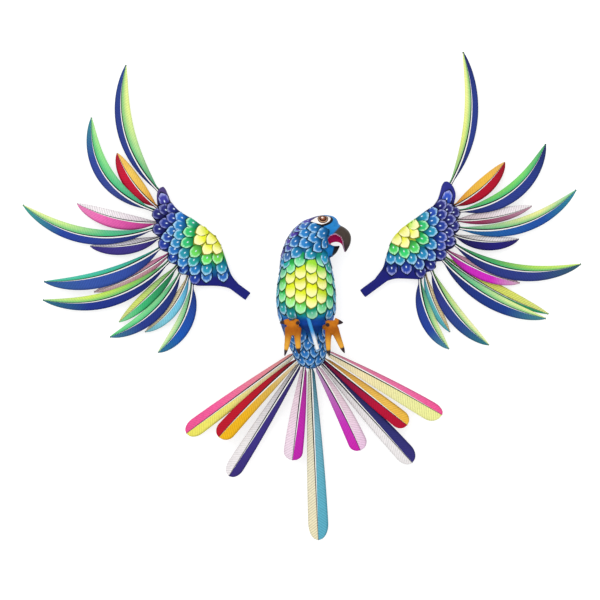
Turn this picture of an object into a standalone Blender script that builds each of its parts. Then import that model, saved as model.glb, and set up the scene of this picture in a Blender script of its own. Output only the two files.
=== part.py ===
"""A carved and painted wooden parrot that comes apart, as laid out on a table.

The bird lies on its flat back with its belly up, its head towards +Y and its tail towards -Y. Both wings
are drawn out of the sockets in its flanks and lie beside it. Thin wooden slips make the feathers: each has
a tang that sits in a slot in a wing's edge or in the rump. The origin is on the flat of the bird's back.
"""

import math
from collections import namedtuple

import bmesh
import bpy
from mathutils import Matrix, Vector

# Sizes and places are in millimetres, and MM turns them into Blender's metres.
MM = 0.001

# Fits: the play of a glued tang or peg in its hole, and a wing's tenon's in its socket and past its end.
GLUE_GAP = 0.3
SOCKET_GAP = 0.4
SOCKET_END_GAP = 2.5

# Feather slips: a flat underside, and a top that rises from thin edges to a quill along the middle.
QUILL_THICK = 2.2
EDGE_THICK = 1.4
TANG_THICK = 1.6
TANG_WIDTH = 3.6
TANG_LENGTH = 8.0
BARE_QUILL = 3.0
SLOT_REACH = 6.0

# Slips sit in three rows, one above another, and the upper ones curl up a little towards their tips.
ROW_PITCH = 2.8
BACK, MIDDLE, FRONT = 0, 1, 2
TIP_CURL = {BACK: 0.0, MIDDLE: 1.5, FRONT: 3.0}
WING_ROW_HEIGHT = 2.4
TAIL_ROW_HEIGHT = 8.2

# Wings: a dome on a flat back, with a bar-shaped tenon.
WING_CROWN = 15.0
WING_DOME_LENGTH = 88.0
WING_DOME_WIDTH = 52.0
TENON_WIDTH = 9.0
TENON_THICK = 8.0
TENON_LENGTH = 36.0
TENON_HEIGHT = 7.0

# Legs and the peg in the belly.
LEG_RADIUS = 2.7
PEG_RADIUS = 1.9
PEG_BORE_RADIUS = 0.8
PEG_BORE_DEPTH = 4.0

# Height of the bill's middle plane, and half the thickness of the web left in the open mouth.
BILL_HEIGHT = 24.0
MOUTH_WEB = 2.5

RING_POINTS = 20
BILL_POINTS = 10
LIMB_POINTS = 12

Feather = namedtuple("Feather", "root tip bow lead trail row colour")
Wing = namedtuple("Wing", "side leading_edge trailing_edge notches bulges fingertip dome_centre dome_turn "
                          "tenon_end tenon_turn travel feathers")
Section = namedtuple("Section", "y left right back belly")

# Paint, as linear red, green and blue.
PAINT = {
    "plumage_blue": (0.02, 0.13, 0.48),
    "wing_navy": (0.02, 0.03, 0.20),
    "foot_orange": (0.68, 0.25, 0.02),
    "peg_blue": (0.05, 0.36, 0.72),
    "blue_green": (0.03, 0.08, 0.40),
    "red_amber": (0.55, 0.01, 0.02),
    "pink_white": (0.85, 0.10, 0.40),
    "purple_grey": (0.06, 0.03, 0.25),
    "mauve_grey": (0.50, 0.30, 0.34),
    "green_yellow": (0.05, 0.45, 0.12),
    "beige_sky": (0.20, 0.55, 0.72),
    "pink_yellow": (0.90, 0.13, 0.30),
    "white_purple": (0.08, 0.04, 0.28),
    "white_magenta": (0.60, 0.02, 0.55),
    "cream_teal": (0.14, 0.47, 0.60),
}

# The torso and head, as slices across the bird from the rump's end to the crown: where the slice is, its left
# and right edges, and the heights of its back and belly. Slices that reach below 0 are cut flat there.
BODY_SECTIONS = (
    Section(-68.5, 1.5, 6.5, 10.0, 13.5),
    Section(-66, -5.5, 11.5, 5.5, 18.0),
    Section(-62, -8.5, 15.5, 3.0, 22.0),
    Section(-57, -12.5, 18.0, 1.0, 26.0),
    Section(-50, -15.0, 19.8, -1.0, 30.0),
    Section(-42, -19.5, 21.5, -2.0, 33.0),
    Section(-31, -24.0, 23.5, -3.0, 36.0),
    Section(-21, -27.3, 26.0, -3.0, 39.0),
    Section(-17, -28.0, 27.0, -3.0, 44.0),
    Section(-13, -28.7, 27.8, -3.0, 48.0),
    Section(-4, -30.0, 28.4, -3.0, 50.5),
    Section(8, -30.0, 28.2, -3.0, 51.0),
    Section(20, -28.5, 26.5, -3.0, 50.0),
    Section(30, -26.7, 24.8, -2.0, 48.5),
    Section(38, -26.3, 23.2, -1.0, 47.0),
    Section(45, -25.2, 21.8, 1.5, 46.5),
    Section(52, -23.2, 20.5, 3.0, 46.0),
    Section(60, -19.8, 21.5, 4.0, 45.5),
    Section(66, -16.5, 26.5, 5.0, 45.0),
    Section(72, -12.0, 30.0, 7.0, 43.5),
    Section(76, -7.5, 31.3, 9.0, 41.5),
    Section(80, -0.5, 30.0, 12.0, 38.5),
    Section(83, 7.5, 27.0, 16.0, 34.0),
    Section(85, 14.5, 22.0, 20.5, 29.0),
)

# Both halves of the bill, as slices from inside the head to the point: two edges and half the thickness.
UPPER_BILL = (
    ((26, 81), (20, 54), 13.0),
    ((32.5, 75), (24, 56.5), 12.0),
    ((37.5, 72.2), (28, 57.8), 10.5),
    ((42, 68), (32, 57.3), 9.0),
    ((44, 62), (34.5, 55.5), 7.0),
    ((43, 55.5), (35.7, 52.5), 5.0),
    ((40.5, 50.5), (36.6, 49.5), 3.0),
    ((38, 46.9), (37.4, 46.5), 0.6),
)
LOWER_BILL = (
    ((17, 56), (17, 42), 10.0),
    ((23, 55.2), (22.5, 43), 8.5),
    ((27, 54), (26, 45.2), 6.5),
    ((30.5, 54), (29.3, 49), 4.0),
    ((33.4, 54.8), (33, 54.2), 0.6),
)
MOUTH_RIM = ((20, 60), (23, 63.5), (28, 65.3), (33, 62.5), (35.2, 58), (35.5, 54),
             (34, 55), (31, 57), (27, 57), (23, 55))

LEFT_WING = Wing(
    side=1,
    leading_edge=((-143.8, 113.8), (-141.6, 111), (-139.2, 105.5), (-136.3, 98.5), (-132.2, 92.7),
                  (-125.6, 87.7), (-112, 79.3), (-97.4, 68.8), (-89.1, 60.3), (-84.1, 49.2), (-78.3, 32),
                  (-75, 25), (-70, 18.5)),
    trailing_edge=((-77, 11.5), (-82.4, 13.6), (-90.7, 15), (-107, 15)),
    notches=((-107, 15), (-117.5, 25.5), (-128, 35.5), (-137, 48), (-146.5, 63), (-149.5, 78), (-149, 92)),
    bulges=(4.0, 5.0, 5.9, 6.9, 6.5, 5.8),
    fingertip=((-150.4, 99.5), (-150.4, 105), (-149.4, 110), (-146.5, 112.8)),
    dome_centre=(-119, 61),
    dome_turn=-58.0,
    tenon_end=(-59, 3.5),
    tenon_turn=-36.5,
    travel=55.0,
    feathers=(
        Feather((-149, 110), (-181, 235), 18.0, 10.0, 7.0, FRONT, "blue_green"),
        Feather((-157, 91), (-215.5, 182.5), 20.0, 9.0, 8.0, FRONT, "blue_green"),
        Feather((-150, 93), (-190, 147), 4.5, 8.2, 9.6, MIDDLE, "red_amber"),
        Feather((-150, 77.5), (-230, 96.5), 5.4, 7.0, 10.2, MIDDLE, "pink_white"),
        Feather((-155, 71), (-284, 95), 18.5, 7.8, 8.2, FRONT, "blue_green"),
        Feather((-147, 63), (-217, 54), 4.0, 6.0, 9.0, MIDDLE, "purple_grey"),
        Feather((-147, 52), (-263, 18.5), 10.0, 4.8, 12.0, FRONT, "blue_green"),
        Feather((-137, 47), (-213, 8), 4.0, 6.0, 6.0, MIDDLE, "mauve_grey"),
        Feather((-140, 37), (-264, 0), 17.0, 7.0, 9.0, FRONT, "blue_green"),
        Feather((-131, 33), (-188, -22), 1.5, 6.2, 8.0, MIDDLE, "green_yellow"),
        Feather((-127, 27), (-197, -37), 10.0, 6.5, 9.2, FRONT, "blue_green"),
        Feather((-119, 24), (-162, -32), 6.5, 5.5, 7.6, MIDDLE, "beige_sky"),
        Feather((-115, 15), (-149, -52.5), 8.0, 6.0, 10.4, FRONT, "blue_green"),
    ),
)

RIGHT_WING = Wing(
    side=-1,
    leading_edge=((137.4, 118.6), (135.1, 115), (133.6, 109.5), (131.5, 102.3), (128.7, 97.3), (124.6, 92.8),
                  (118.5, 88.5), (98.3, 74.4), (91, 67.8), (84.5, 59), (78.7, 41.2), (75.9, 33.5), (70, 25)),
    trailing_edge=((80, 19), (87.9, 21.2), (95, 21.4), (113, 20.5)),
    notches=((113, 20.5), (117.5, 28), (128, 39), (138.5, 50), (146, 65.5), (149, 79.5), (146.5, 94)),
    bulges=(1.5, 4.4, 5.6, 6.8, 5.5, 5.7),
    fingertip=((149, 104), (148.6, 108.1), (146.6, 113.2), (143.5, 117), (140.5, 119)),
    dome_centre=(115, 67),
    dome_turn=58.0,
    tenon_end=(55.5, 6.3),
    tenon_turn=180.0 + 36.5,
    travel=54.0,
    feathers=(
        Feather((144, 117), (156, 248), 14.0, 7.0, 6.8, FRONT, "blue_green"),
        Feather((147, 94), (198, 138), 4.5, 8.0, 9.2, MIDDLE, "red_amber"),
        Feather((153, 89), (238.5, 156), 16.5, 7.2, 10.0, FRONT, "blue_green"),
        Feather((149, 80), (225, 94), 4.5, 8.5, 5.5, MIDDLE, "pink_white"),
        Feather((152, 72), (269, 110), 16.0, 7.0, 8.5, FRONT, "blue_green"),
        Feather((147, 65), (212, 61), 4.5, 5.4, 8.8, MIDDLE, "purple_grey"),
        Feather((148, 55.5), (274, 36), 16.0, 6.2, 10.2, FRONT, "blue_green"),
        Feather((140, 49.5), (213, 17), 4.5, 6.0, 8.5, MIDDLE, "white_magenta"),
        Feather((138, 43), (242, -14), 5.5, 8.0, 5.0, BACK, "green_yellow"),
        Feather((136, 40), (239, -18.5), 9.2, 6.5, 10.0, FRONT, "blue_green"),
        Feather((125, 29), (182, -45), 7.0, 6.4, 10.0, FRONT, "blue_green"),
        Feather((118, 26), (143, -32), 3.0, 4.5, 6.0, MIDDLE, "beige_sky"),
        Feather((113, 20), (142, -49), 6.5, 6.0, 9.5, FRONT, "blue_green"),
    ),
)

TAIL_FEATHERS = (
    Feather((-14, -55), (-120.5, -133.5), 0.0, 8.6, 9.4, MIDDLE, "pink_yellow"),
    Feather((-11, -61), (-88, -137), -2.0, 9.0, 10.6, FRONT, "red_amber"),
    Feather((-8, -65), (-78, -176), 0.0, 8.5, 9.0, MIDDLE, "white_purple"),
    Feather((-3, -68), (-14.5, -160), 0.0, 10.0, 9.4, FRONT, "white_magenta"),
    Feather((4, -68), (11.5, -240), 0.0, 9.6, 10.6, MIDDLE, "cream_teal"),
    Feather((10, -67), (53.6, -150), 2.0, 9.2, 9.6, FRONT, "white_magenta"),
    Feather((15, -63), (105.5, -162.8), 0.0, 9.0, 10.6, BACK, "white_purple"),
    Feather((18, -60), (100.3, -125), 0.0, 9.2, 9.2, MIDDLE, "red_amber"),
    Feather((21, -52.5), (135, -114.6), 1.0, 12.4, 6.8, FRONT, "pink_yellow"),
)

# Feet, as tapered limbs joined at the palm: each limb's points, with the radius there.
LEFT_FOOT = (
    (((-14, -20, 45), 6.0), ((-14, -30, 44.5), 5.8), ((-14, -35, 44), 4.0)),
    (((-17.5, -26, 44.5), 4.6), ((-19, -38, 43), 3.2), ((-20.5, -47.5, 42), 2.3), ((-22.3, -56, 40), 0.5)),
    (((-10, -26, 44.5), 4.6), ((-9.5, -38, 43), 3.2), ((-8.6, -48, 42), 2.4), ((-8, -54, 40), 0.5)),
    (((-18, -22, 45), 3.8), ((-22, -22, 46), 2.5), ((-27.5, -23, 46), 0.5)),
    (((-11, -22, 45), 3.8), ((-9.3, -22.5, 50), 2.2), ((-9, -23, 53), 0.5)),
)
RIGHT_FOOT = (
    (((24, -20, 45), 6.0), ((24.5, -29, 44.5), 5.8), ((24.5, -33, 44), 4.0)),
    (((22, -26, 44.5), 4.4), ((21, -38, 43), 3.0), ((21.3, -49.5, 42), 2.2), ((22.5, -56, 40), 0.5)),
    (((26.5, -27, 44.5), 4.6), ((31, -38, 43), 3.2), ((34.7, -47, 42), 2.3), ((37.5, -53, 40), 0.5)),
    (((27, -21, 45), 3.8), ((32, -22, 46), 2.5), ((36, -22.5, 46), 0.5)),
    (((22, -23, 45), 3.8), ((20.3, -24.5, 50), 2.2), ((20, -25, 53), 0.5)),
)
LEFT_LEG = ((-13, -27, 22), (-14, -27, 43))
RIGHT_LEG = ((13, -27, 22), (23.5, -27, 43))
BELLY_PEG = ((-2.5, -6, 42.6), (10.5, -49, 39.5))


def clear_scene():
    for obj in list(bpy.data.objects):
        bpy.data.objects.remove(obj)


def paint(name, rough=0.42):
    """The material of one colour of acrylic paint on wood."""
    material = bpy.data.materials.get(name) or bpy.data.materials.new(name)
    material.use_nodes = True
    shader = material.node_tree.nodes["Principled BSDF"]
    shader.inputs["Base Color"].default_value = (*PAINT[name], 1.0)
    shader.inputs["Roughness"].default_value = rough
    shader.inputs["Metallic"].default_value = 0.0
    return material


def empty(name, place, parent=None):
    """An axis marker that carries the pieces of one rigid group."""
    marker = bpy.data.objects.new(name, None)
    bpy.context.scene.collection.objects.link(marker)
    marker.location = Vector(place) * MM
    marker.parent = parent
    bpy.context.view_layer.update()
    return marker


def mesh_object(name, bm, parent=None):
    """Makes an object of a bmesh drawn in millimetres in the bird's frame, held by a parent empty."""
    bmesh.ops.remove_doubles(bm, verts=bm.verts, dist=1e-4)
    bmesh.ops.recalc_face_normals(bm, faces=bm.faces)
    origin = parent.matrix_world.translation if parent else Vector()
    bm.transform(Matrix.Translation(-origin) @ Matrix.Scale(MM, 4))
    mesh = bpy.data.meshes.new(name)
    bm.to_mesh(mesh)
    bm.free()
    obj = bpy.data.objects.new(name, mesh)
    bpy.context.scene.collection.objects.link(obj)
    obj.parent = parent
    return obj


def part(name, bm, parent, colour, smooth_angle=40.0):
    obj = mesh_object(name, bm, parent)
    obj.data.materials.append(paint(colour))
    obj.data.shade_smooth()
    obj.data.set_sharp_from_angle(angle=math.radians(smooth_angle))
    return obj


def combine(obj, operation, name, bm):
    """Joins a helper solid to an object, or cuts it away, and leaves the helper out of renders."""
    helper = mesh_object(name, bm)
    helper.hide_render = True
    helper.display_type = "WIRE"
    modifier = obj.modifiers.new(name, "BOOLEAN")
    modifier.operation = operation
    modifier.object = helper


def loft(rings):
    """A closed solid through rings that all have the same number of points."""
    bm = bmesh.new()
    loops = [[bm.verts.new(point) for point in ring] for ring in rings]
    for one, two in zip(loops, loops[1:]):
        for i in range(len(one)):
            j = (i + 1) % len(one)
            bm.faces.new((one[i], one[j], two[j], two[i]))
    bm.faces.new(reversed(loops[0]))
    bm.faces.new(loops[-1])
    return bm


def prism(outline, low, high):
    """An outline in the plane of the table, raised from one height to another."""
    bm = bmesh.new()
    base = bm.faces.new([bm.verts.new((x, y, low)) for x, y in outline])
    raised = bmesh.ops.extrude_face_region(bm, geom=[base])
    tops = [item for item in raised["geom"] if isinstance(item, bmesh.types.BMVert)]
    bmesh.ops.translate(bm, verts=tops, vec=(0, 0, high - low))
    return bm


def bar(start, direction, length, width, thick):
    """A square-cornered bar along a level direction, from the middle of one end."""
    start = Vector(start)
    turn = Matrix.Rotation(math.atan2(direction.y, direction.x), 4, "Z")
    place = Matrix.Translation(start) @ turn @ Matrix.Translation((length / 2, 0, 0))
    bm = bmesh.new()
    bmesh.ops.create_cube(bm, size=1.0, matrix=place @ Matrix.Diagonal((length, width, thick, 1.0)))
    return bm


def rod(start, end, radius, end_radius=None):
    """A round rod, or a cone, from one point to another."""
    start = Vector(start)
    along = Vector(end) - start
    place = Matrix.Translation(start + along / 2) @ along.to_track_quat("Z", "Y").to_matrix().to_4x4()
    bm = bmesh.new()
    far_radius = radius if end_radius is None else end_radius
    bmesh.ops.create_cone(bm, cap_ends=True, segments=LIMB_POINTS, radius1=radius, radius2=far_radius,
                          depth=along.length, matrix=place)
    return bm


def spline(points, steps):
    """Points along a smooth curve through the given points, ends included."""
    points = [Vector(point) for point in points]
    padded = [2 * points[0] - points[1], *points, 2 * points[-1] - points[-2]]
    curve = []
    for a, b, c, d in zip(padded, padded[1:], padded[2:], padded[3:]):
        for step in range(steps):
            t = step / steps
            curve.append(((2 * b) + (c - a) * t + (2 * a - 5 * b + 4 * c - d) * t * t
                          + (3 * b - a - 3 * c + d) * t ** 3) / 2)
    return [*curve, points[-1]]


def level(bearing):
    """The level direction at a bearing in degrees, anticlockwise from +X."""
    return Vector((math.cos(math.radians(bearing)), math.sin(math.radians(bearing)), 0.0))


# Feathers


def leaf(t):
    """Half width of a wing feather along its length, from 0 at the quill through 1 to 0 at a sharp tip."""
    rise, fall = 0.72, 0.72
    widest = rise / (rise + fall)
    return t ** rise * (1 - t) ** fall / (widest ** rise * (1 - widest) ** fall)


def paddle(t):
    """Half width of a tail feather, which widens all the way to a round end."""
    round_from = 0.9
    width = 1 - 0.72 * (1 - t) ** 1.9
    return width if t < round_from else width * math.sqrt(1 - ((t - round_from) / (1 - round_from)) ** 2)


# Each kind of feather has its outline, and the shares of its length where that is drawn.
WING_SHAPE = (leaf, (0.0, 0.08, 0.18, 0.32, 0.46, 0.6, 0.74, 0.86, 0.95, 1.0))
TAIL_SHAPE = (paddle, (0.0, 0.12, 0.3, 0.6, 0.9, 0.945, 0.98, 1.0))


def feather_line(feather, side, t):
    """Where a feather's quill lies at a share of its length, in the plane of the table."""
    root = Vector(feather.root)
    chord = Vector(feather.tip) - root
    across = Vector((-chord.y, chord.x)).normalized() * side
    return root + chord * t + across * feather.bow * 4 * t * (1 - t)


def feather_heading(feather, side, t=0.0):
    chord = Vector(feather.tip) - Vector(feather.root)
    across = Vector((-chord.y, chord.x)).normalized() * side
    return (chord + across * feather.bow * 4 * (1 - 2 * t)).normalized()


def feather_ring(point, heading, side, height, lead, trail, edge, quill):
    """One slice of a slip: flat below, and raised above along its quill."""
    across = Vector((-heading.y, heading.x)) * side
    low = height - quill / 2
    outer, inner = point + across * trail, point - across * lead
    return [(*inner, low), (*outer, low), (*outer, low + edge), (*point, low + quill), (*inner, low + edge)]


def feather_solid(feather, side, height, profile, stations):
    heading = feather_heading(feather, side)
    tang = TANG_WIDTH / 2
    rings = [feather_ring(Vector(feather.root) + heading * along, heading, side, height, tang, tang,
                          TANG_THICK, TANG_THICK) for along in (-TANG_LENGTH, 0.0)]
    length = (Vector(feather.tip) - Vector(feather.root)).length
    bare = BARE_QUILL / length
    for share in stations:
        t = bare + share * (1 - bare)
        stem = tang * (1 - share) + 0.25 * share
        spread = [math.hypot(stem, half * profile(share)) for half in (feather.lead, feather.trail)]
        swell = min(1.0, share / 0.12)
        rings.append(feather_ring(
            feather_line(feather, side, t), feather_heading(feather, side, t), side,
            height + TIP_CURL[feather.row] * t * t, *spread,
            TANG_THICK + (EDGE_THICK - TANG_THICK) * swell, TANG_THICK + (QUILL_THICK - TANG_THICK) * swell))
    return loft(rings)


def slot_solid(feather, side, height):
    """The slot that a feather's tang is glued into."""
    heading = feather_heading(feather, side).to_3d()
    start = Vector((*feather.root, height)) - heading * (TANG_LENGTH + GLUE_GAP)
    return bar(start, heading, TANG_LENGTH + SLOT_REACH, TANG_WIDTH + 2 * GLUE_GAP, TANG_THICK + 2 * GLUE_GAP)


def fit_feathers(feathers, side, names, lowest_row, shape, holder, parent):
    """Makes a row of feathers and cuts their slots in the piece that holds them."""
    for number, feather in enumerate(feathers, start=1):
        height = lowest_row + feather.row * ROW_PITCH
        part(f"{names}_{number}", feather_solid(feather, side, height, *shape), parent, feather.colour)
        combine(holder, "DIFFERENCE", f"{names}_{number}_slot", slot_solid(feather, side, height))


# Wings


def lobe(start, end, bulge, side, steps=5):
    """A round lobe of the scalloped edge: an arc from one notch to the next, without its last point."""
    start, end = Vector(start), Vector(end)
    chord = end - start
    outward = Vector((-chord.y, chord.x)).normalized() * side
    arc = []
    for step in range(steps):
        t = step / steps
        arc.append(start + chord * t + outward * bulge * math.sin(math.pi * t) ** 0.75)
    return arc


def wing_outline(wing):
    outline = spline(wing.leading_edge, 2) + spline(wing.trailing_edge, 2)[:-1]
    for start, end, bulge in zip(wing.notches, wing.notches[1:], wing.bulges):
        outline += lobe(start, end, bulge, wing.side)
    return outline + [Vector(wing.notches[-1])] + [Vector(point) for point in wing.fingertip]


def dome_solid(wing):
    bm = bmesh.new()
    turn = Matrix.Rotation(math.radians(wing.dome_turn), 4, "Z")
    place = Matrix.Translation((*wing.dome_centre, 0.0)) @ turn
    size = Matrix.Diagonal((WING_DOME_LENGTH, WING_DOME_WIDTH, WING_CROWN, 1.0))
    bmesh.ops.create_uvsphere(bm, u_segments=32, v_segments=20, radius=1.0, matrix=place @ size)
    return bm


def tenon_solid(wing):
    heading = level(wing.tenon_turn)
    start = Vector((*wing.tenon_end, TENON_HEIGHT)) - heading * TENON_LENGTH
    return bar(start, heading, TENON_LENGTH, TENON_WIDTH, TENON_THICK)


def make_wing(name, wing, parent):
    slide = empty(f"{name}_slide", (*wing.tenon_end, TENON_HEIGHT), parent)
    blank = part(name, prism(wing_outline(wing), 0.0, WING_CROWN + 1.0), slide, "wing_navy")
    combine(blank, "INTERSECT", f"{name}_dome", dome_solid(wing))
    combine(blank, "UNION", f"{name}_tenon", tenon_solid(wing))
    names = name.replace("wing", "feather")
    fit_feathers(wing.feathers, wing.side, names, WING_ROW_HEIGHT, WING_SHAPE, blank, slide)


def socket_solid(wing):
    """The hole that takes a wing's tenon once the wing has slid all the way in."""
    heading = level(wing.tenon_turn)
    end = Vector((*wing.tenon_end, TENON_HEIGHT)) + heading * (wing.travel + SOCKET_END_GAP)
    return bar(end - heading * TENON_LENGTH, heading, TENON_LENGTH,
               TENON_WIDTH + 2 * SOCKET_GAP, TENON_THICK + 2 * SOCKET_GAP)


# Body


def oval(centre, one, two):
    """A ring round a centre, from the two half axes of an ellipse."""
    turns = [2 * math.pi * i / RING_POINTS for i in range(RING_POINTS)]
    return [centre + one * math.cos(turn) + two * math.sin(turn) for turn in turns]


def torso_solid():
    rings = []
    for section in BODY_SECTIONS:
        centre = Vector(((section.left + section.right) / 2, section.y, (section.back + section.belly) / 2))
        rings.append(oval(centre, Vector(((section.right - section.left) / 2, 0, 0)),
                          Vector((0, 0, (section.belly - section.back) / 2))))
    bm = loft(rings)
    bmesh.ops.recalc_face_normals(bm, faces=bm.faces)
    cut = bmesh.ops.bisect_plane(bm, geom=bm.verts[:] + bm.edges[:] + bm.faces[:], plane_co=(0, 0, 0),
                                 plane_no=(0, 0, -1), clear_outer=True)
    rim = [item for item in cut["geom_cut"] if isinstance(item, bmesh.types.BMEdge)]
    bmesh.ops.contextual_create(bm, geom=rim)
    return bm


def bill_solid(slices):
    """One half of the bill, as a horn through slices that each have two edges and a thickness."""
    rings = []
    for near, far, half_thick in slices:
        near, far = Vector((*near, BILL_HEIGHT)), Vector((*far, BILL_HEIGHT))
        turns = [2 * math.pi * i / BILL_POINTS for i in range(BILL_POINTS)]
        rings.append([(near + far) / 2 + (near - far) / 2 * math.cos(turn)
                      + Vector((0, 0, half_thick)) * math.sin(turn) for turn in turns])
    return loft(rings)


def make_body(parent):
    body = part("body", torso_solid(), parent, "plumage_blue")
    combine(body, "UNION", "upper_bill", bill_solid(UPPER_BILL))
    combine(body, "UNION", "lower_bill", bill_solid(LOWER_BILL))
    over = BILL_HEIGHT + MOUTH_WEB
    under = BILL_HEIGHT - MOUTH_WEB
    combine(body, "DIFFERENCE", "mouth_front", prism(MOUTH_RIM, over, over + BILL_HEIGHT))
    combine(body, "DIFFERENCE", "mouth_back", prism(MOUTH_RIM, under - BILL_HEIGHT, under))
    for name, wing in (("left", LEFT_WING), ("right", RIGHT_WING)):
        combine(body, "DIFFERENCE", f"{name}_socket", socket_solid(wing))
    return body


# Feet, legs and peg


def limb_solid(points):
    """A toe: round slices of changing radius along a line."""
    places = [Vector(place) for place, radius in points]
    rings = []
    for i, (place, radius) in enumerate(points):
        ahead = places[min(i + 1, len(places) - 1)] - places[max(i - 1, 0)]
        frame = ahead.to_track_quat("Z", "Y").to_matrix()
        turns = [2 * math.pi * k / LIMB_POINTS for k in range(LIMB_POINTS)]
        spokes = [frame @ Vector((math.cos(turn), math.sin(turn), 0)) for turn in turns]
        rings.append([places[i] + spoke * radius for spoke in spokes])
    return loft(rings)


def make_foot(name, limbs, leg, body, parent):
    foot = part(f"{name}_foot", limb_solid(limbs[0]), parent, "foot_orange")
    for number, limb in enumerate(limbs[1:], start=1):
        combine(foot, "UNION", f"{name}_toe_{number}", limb_solid(limb))
    part(f"{name}_leg", rod(*leg, LEG_RADIUS), parent, "foot_orange")
    hip, ankle = Vector(leg[0]), Vector(leg[1])
    along = (ankle - hip).normalized() * GLUE_GAP
    hole = rod(hip - along, ankle + along, LEG_RADIUS + GLUE_GAP)
    combine(body, "DIFFERENCE", f"{name}_hip_hole", hole.copy())
    combine(foot, "DIFFERENCE", f"{name}_ankle_hole", hole)


def make_peg(body, parent):
    start, end = (Vector(point) for point in BELLY_PEG)
    along = (end - start).normalized()
    peg = part("belly_peg", rod(start, end, PEG_RADIUS), parent, "peg_blue")
    combine(peg, "DIFFERENCE", "peg_bore",
            rod(end - along * PEG_BORE_DEPTH, end + along * PEG_BORE_DEPTH, PEG_BORE_RADIUS))
    combine(body, "DIFFERENCE", "peg_hole", rod(start - along * GLUE_GAP, end, PEG_RADIUS + GLUE_GAP))


def main():
    clear_scene()
    parrot = empty("parrot", (0, 0, 0))
    body = make_body(parrot)
    fit_feathers(TAIL_FEATHERS, 1, "tail_feather", TAIL_ROW_HEIGHT, TAIL_SHAPE, body, parrot)
    make_foot("left", LEFT_FOOT, LEFT_LEG, body, parrot)
    make_foot("right", RIGHT_FOOT, RIGHT_LEG, body, parrot)
    make_peg(body, parrot)
    make_wing("left_wing", LEFT_WING, parrot)
    make_wing("right_wing", RIGHT_WING, parrot)


main()
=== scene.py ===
"""A parrot carved from soft wood and painted all over, laid on its back with both wings drawn out."""

import math

import bmesh
import bpy
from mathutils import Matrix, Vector
from mathutils.bvhtree import BVHTree


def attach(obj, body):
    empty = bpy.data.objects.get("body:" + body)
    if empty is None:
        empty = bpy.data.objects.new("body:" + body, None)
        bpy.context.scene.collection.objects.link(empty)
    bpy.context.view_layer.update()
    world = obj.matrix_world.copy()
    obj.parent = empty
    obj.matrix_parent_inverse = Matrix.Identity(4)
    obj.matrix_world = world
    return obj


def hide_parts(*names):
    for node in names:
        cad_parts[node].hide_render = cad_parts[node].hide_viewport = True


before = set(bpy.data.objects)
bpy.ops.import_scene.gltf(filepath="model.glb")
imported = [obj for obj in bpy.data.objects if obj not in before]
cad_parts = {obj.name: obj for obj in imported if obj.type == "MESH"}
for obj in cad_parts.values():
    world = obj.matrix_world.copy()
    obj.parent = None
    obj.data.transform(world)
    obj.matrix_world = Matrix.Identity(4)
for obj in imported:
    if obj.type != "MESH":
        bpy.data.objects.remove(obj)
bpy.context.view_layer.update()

# The torso, head and open bill are one block of soft wood, rounded with a knife and sanded smooth.
# The back is sawn flat so that the bird lies steady, and a square socket in each flank takes a wing.

MM = 0.001

# Slices across the bird, from the rump's end to the crown: place, left edge, right edge, back, belly.
BODY_SLICES = (
    (-68.5, 1.5, 6.5, 10.0, 13.5),
    (-66, -5.5, 11.5, 5.5, 18.0),
    (-62, -8.5, 15.5, 3.0, 22.0),
    (-57, -12.5, 18.0, 1.0, 26.0),
    (-50, -15.0, 19.8, -1.0, 30.0),
    (-42, -19.5, 21.5, -2.0, 33.0),
    (-31, -24.0, 23.5, -3.0, 36.0),
    (-21, -27.3, 26.0, -3.0, 39.0),
    (-17, -28.0, 27.0, -3.0, 44.0),
    (-13, -28.7, 27.8, -3.0, 48.0),
    (-4, -30.0, 28.4, -3.0, 50.5),
    (8, -30.0, 28.2, -3.0, 51.0),
    (20, -28.5, 26.5, -3.0, 50.0),
    (30, -26.7, 24.8, -2.0, 48.5),
    (38, -26.3, 23.2, -1.0, 47.0),
    (45, -25.2, 21.8, 1.5, 46.5),
    (52, -23.2, 20.5, 3.0, 46.0),
    (60, -19.8, 21.5, 4.0, 45.5),
    (66, -16.5, 26.5, 5.0, 45.0),
    (72, -12.0, 30.0, 7.0, 43.5),
    (76, -7.5, 31.3, 9.0, 41.5),
    (80, -0.5, 30.0, 12.0, 38.5),
    (83, 7.5, 27.0, 16.0, 34.0),
    (85, 14.5, 22.0, 20.5, 29.0),
)
BODY_SPAN = (BODY_SLICES[0][0], BODY_SLICES[-1][0])

# Slices of each half of the bill, from inside the head to the point: outer edge, inner edge, half thickness.
UPPER_BILL = (
    (0, 26, 81, 20, 54, 13.0),
    (1, 32.5, 75, 24, 56.5, 12.0),
    (2, 37.5, 72.2, 28, 57.8, 10.5),
    (3, 42, 68, 32, 57.3, 9.0),
    (4, 44, 62, 34.5, 55.5, 7.0),
    (5, 43, 55.5, 35.7, 52.5, 5.0),
    (6, 40.5, 50.5, 36.6, 49.5, 3.0),
    (7, 38, 46.9, 37.4, 46.5, 0.6),
)
LOWER_BILL = (
    (0, 17, 56, 17, 42, 10.0),
    (1, 23, 55.2, 22.5, 43, 8.5),
    (2, 27, 54, 26.6, 44.5, 6.5),
    (3, 30.5, 54, 30.1, 48.0, 4.0),
    (4, 33.4, 54.8, 33, 54.2, 0.6),
)
BILL_HEIGHT = 24.0
MOUTH_RIM = ((20, 60), (23, 63.5), (28, 65.3), (33, 62.5), (35.2, 58), (35.5, 54),
             (34, 55), (31, 57), (27, 57), (23, 55))
MOUTH_WEB = 2.5

# Sockets: the far end of the hole, its heading in degrees, and its size.
SOCKETS = (((-12.78, -30.7, 7.0), -36.5), ((10.08, -27.31, 7.0), 216.5))
SOCKET_SIZE = (36.0, 9.8, 8.8)

# Facets round and along each form, before one skin is drawn over them all and sanded.
BODY_FACETS = (72, 120)
UPPER_BILL_FACETS = (32, 48)
LOWER_BILL_FACETS = (32, 32)
BODY_GRAIN = 0.9
BODY_SANDINGS = 3
SANDING = 0.5
POLE = 1e-4


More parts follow.
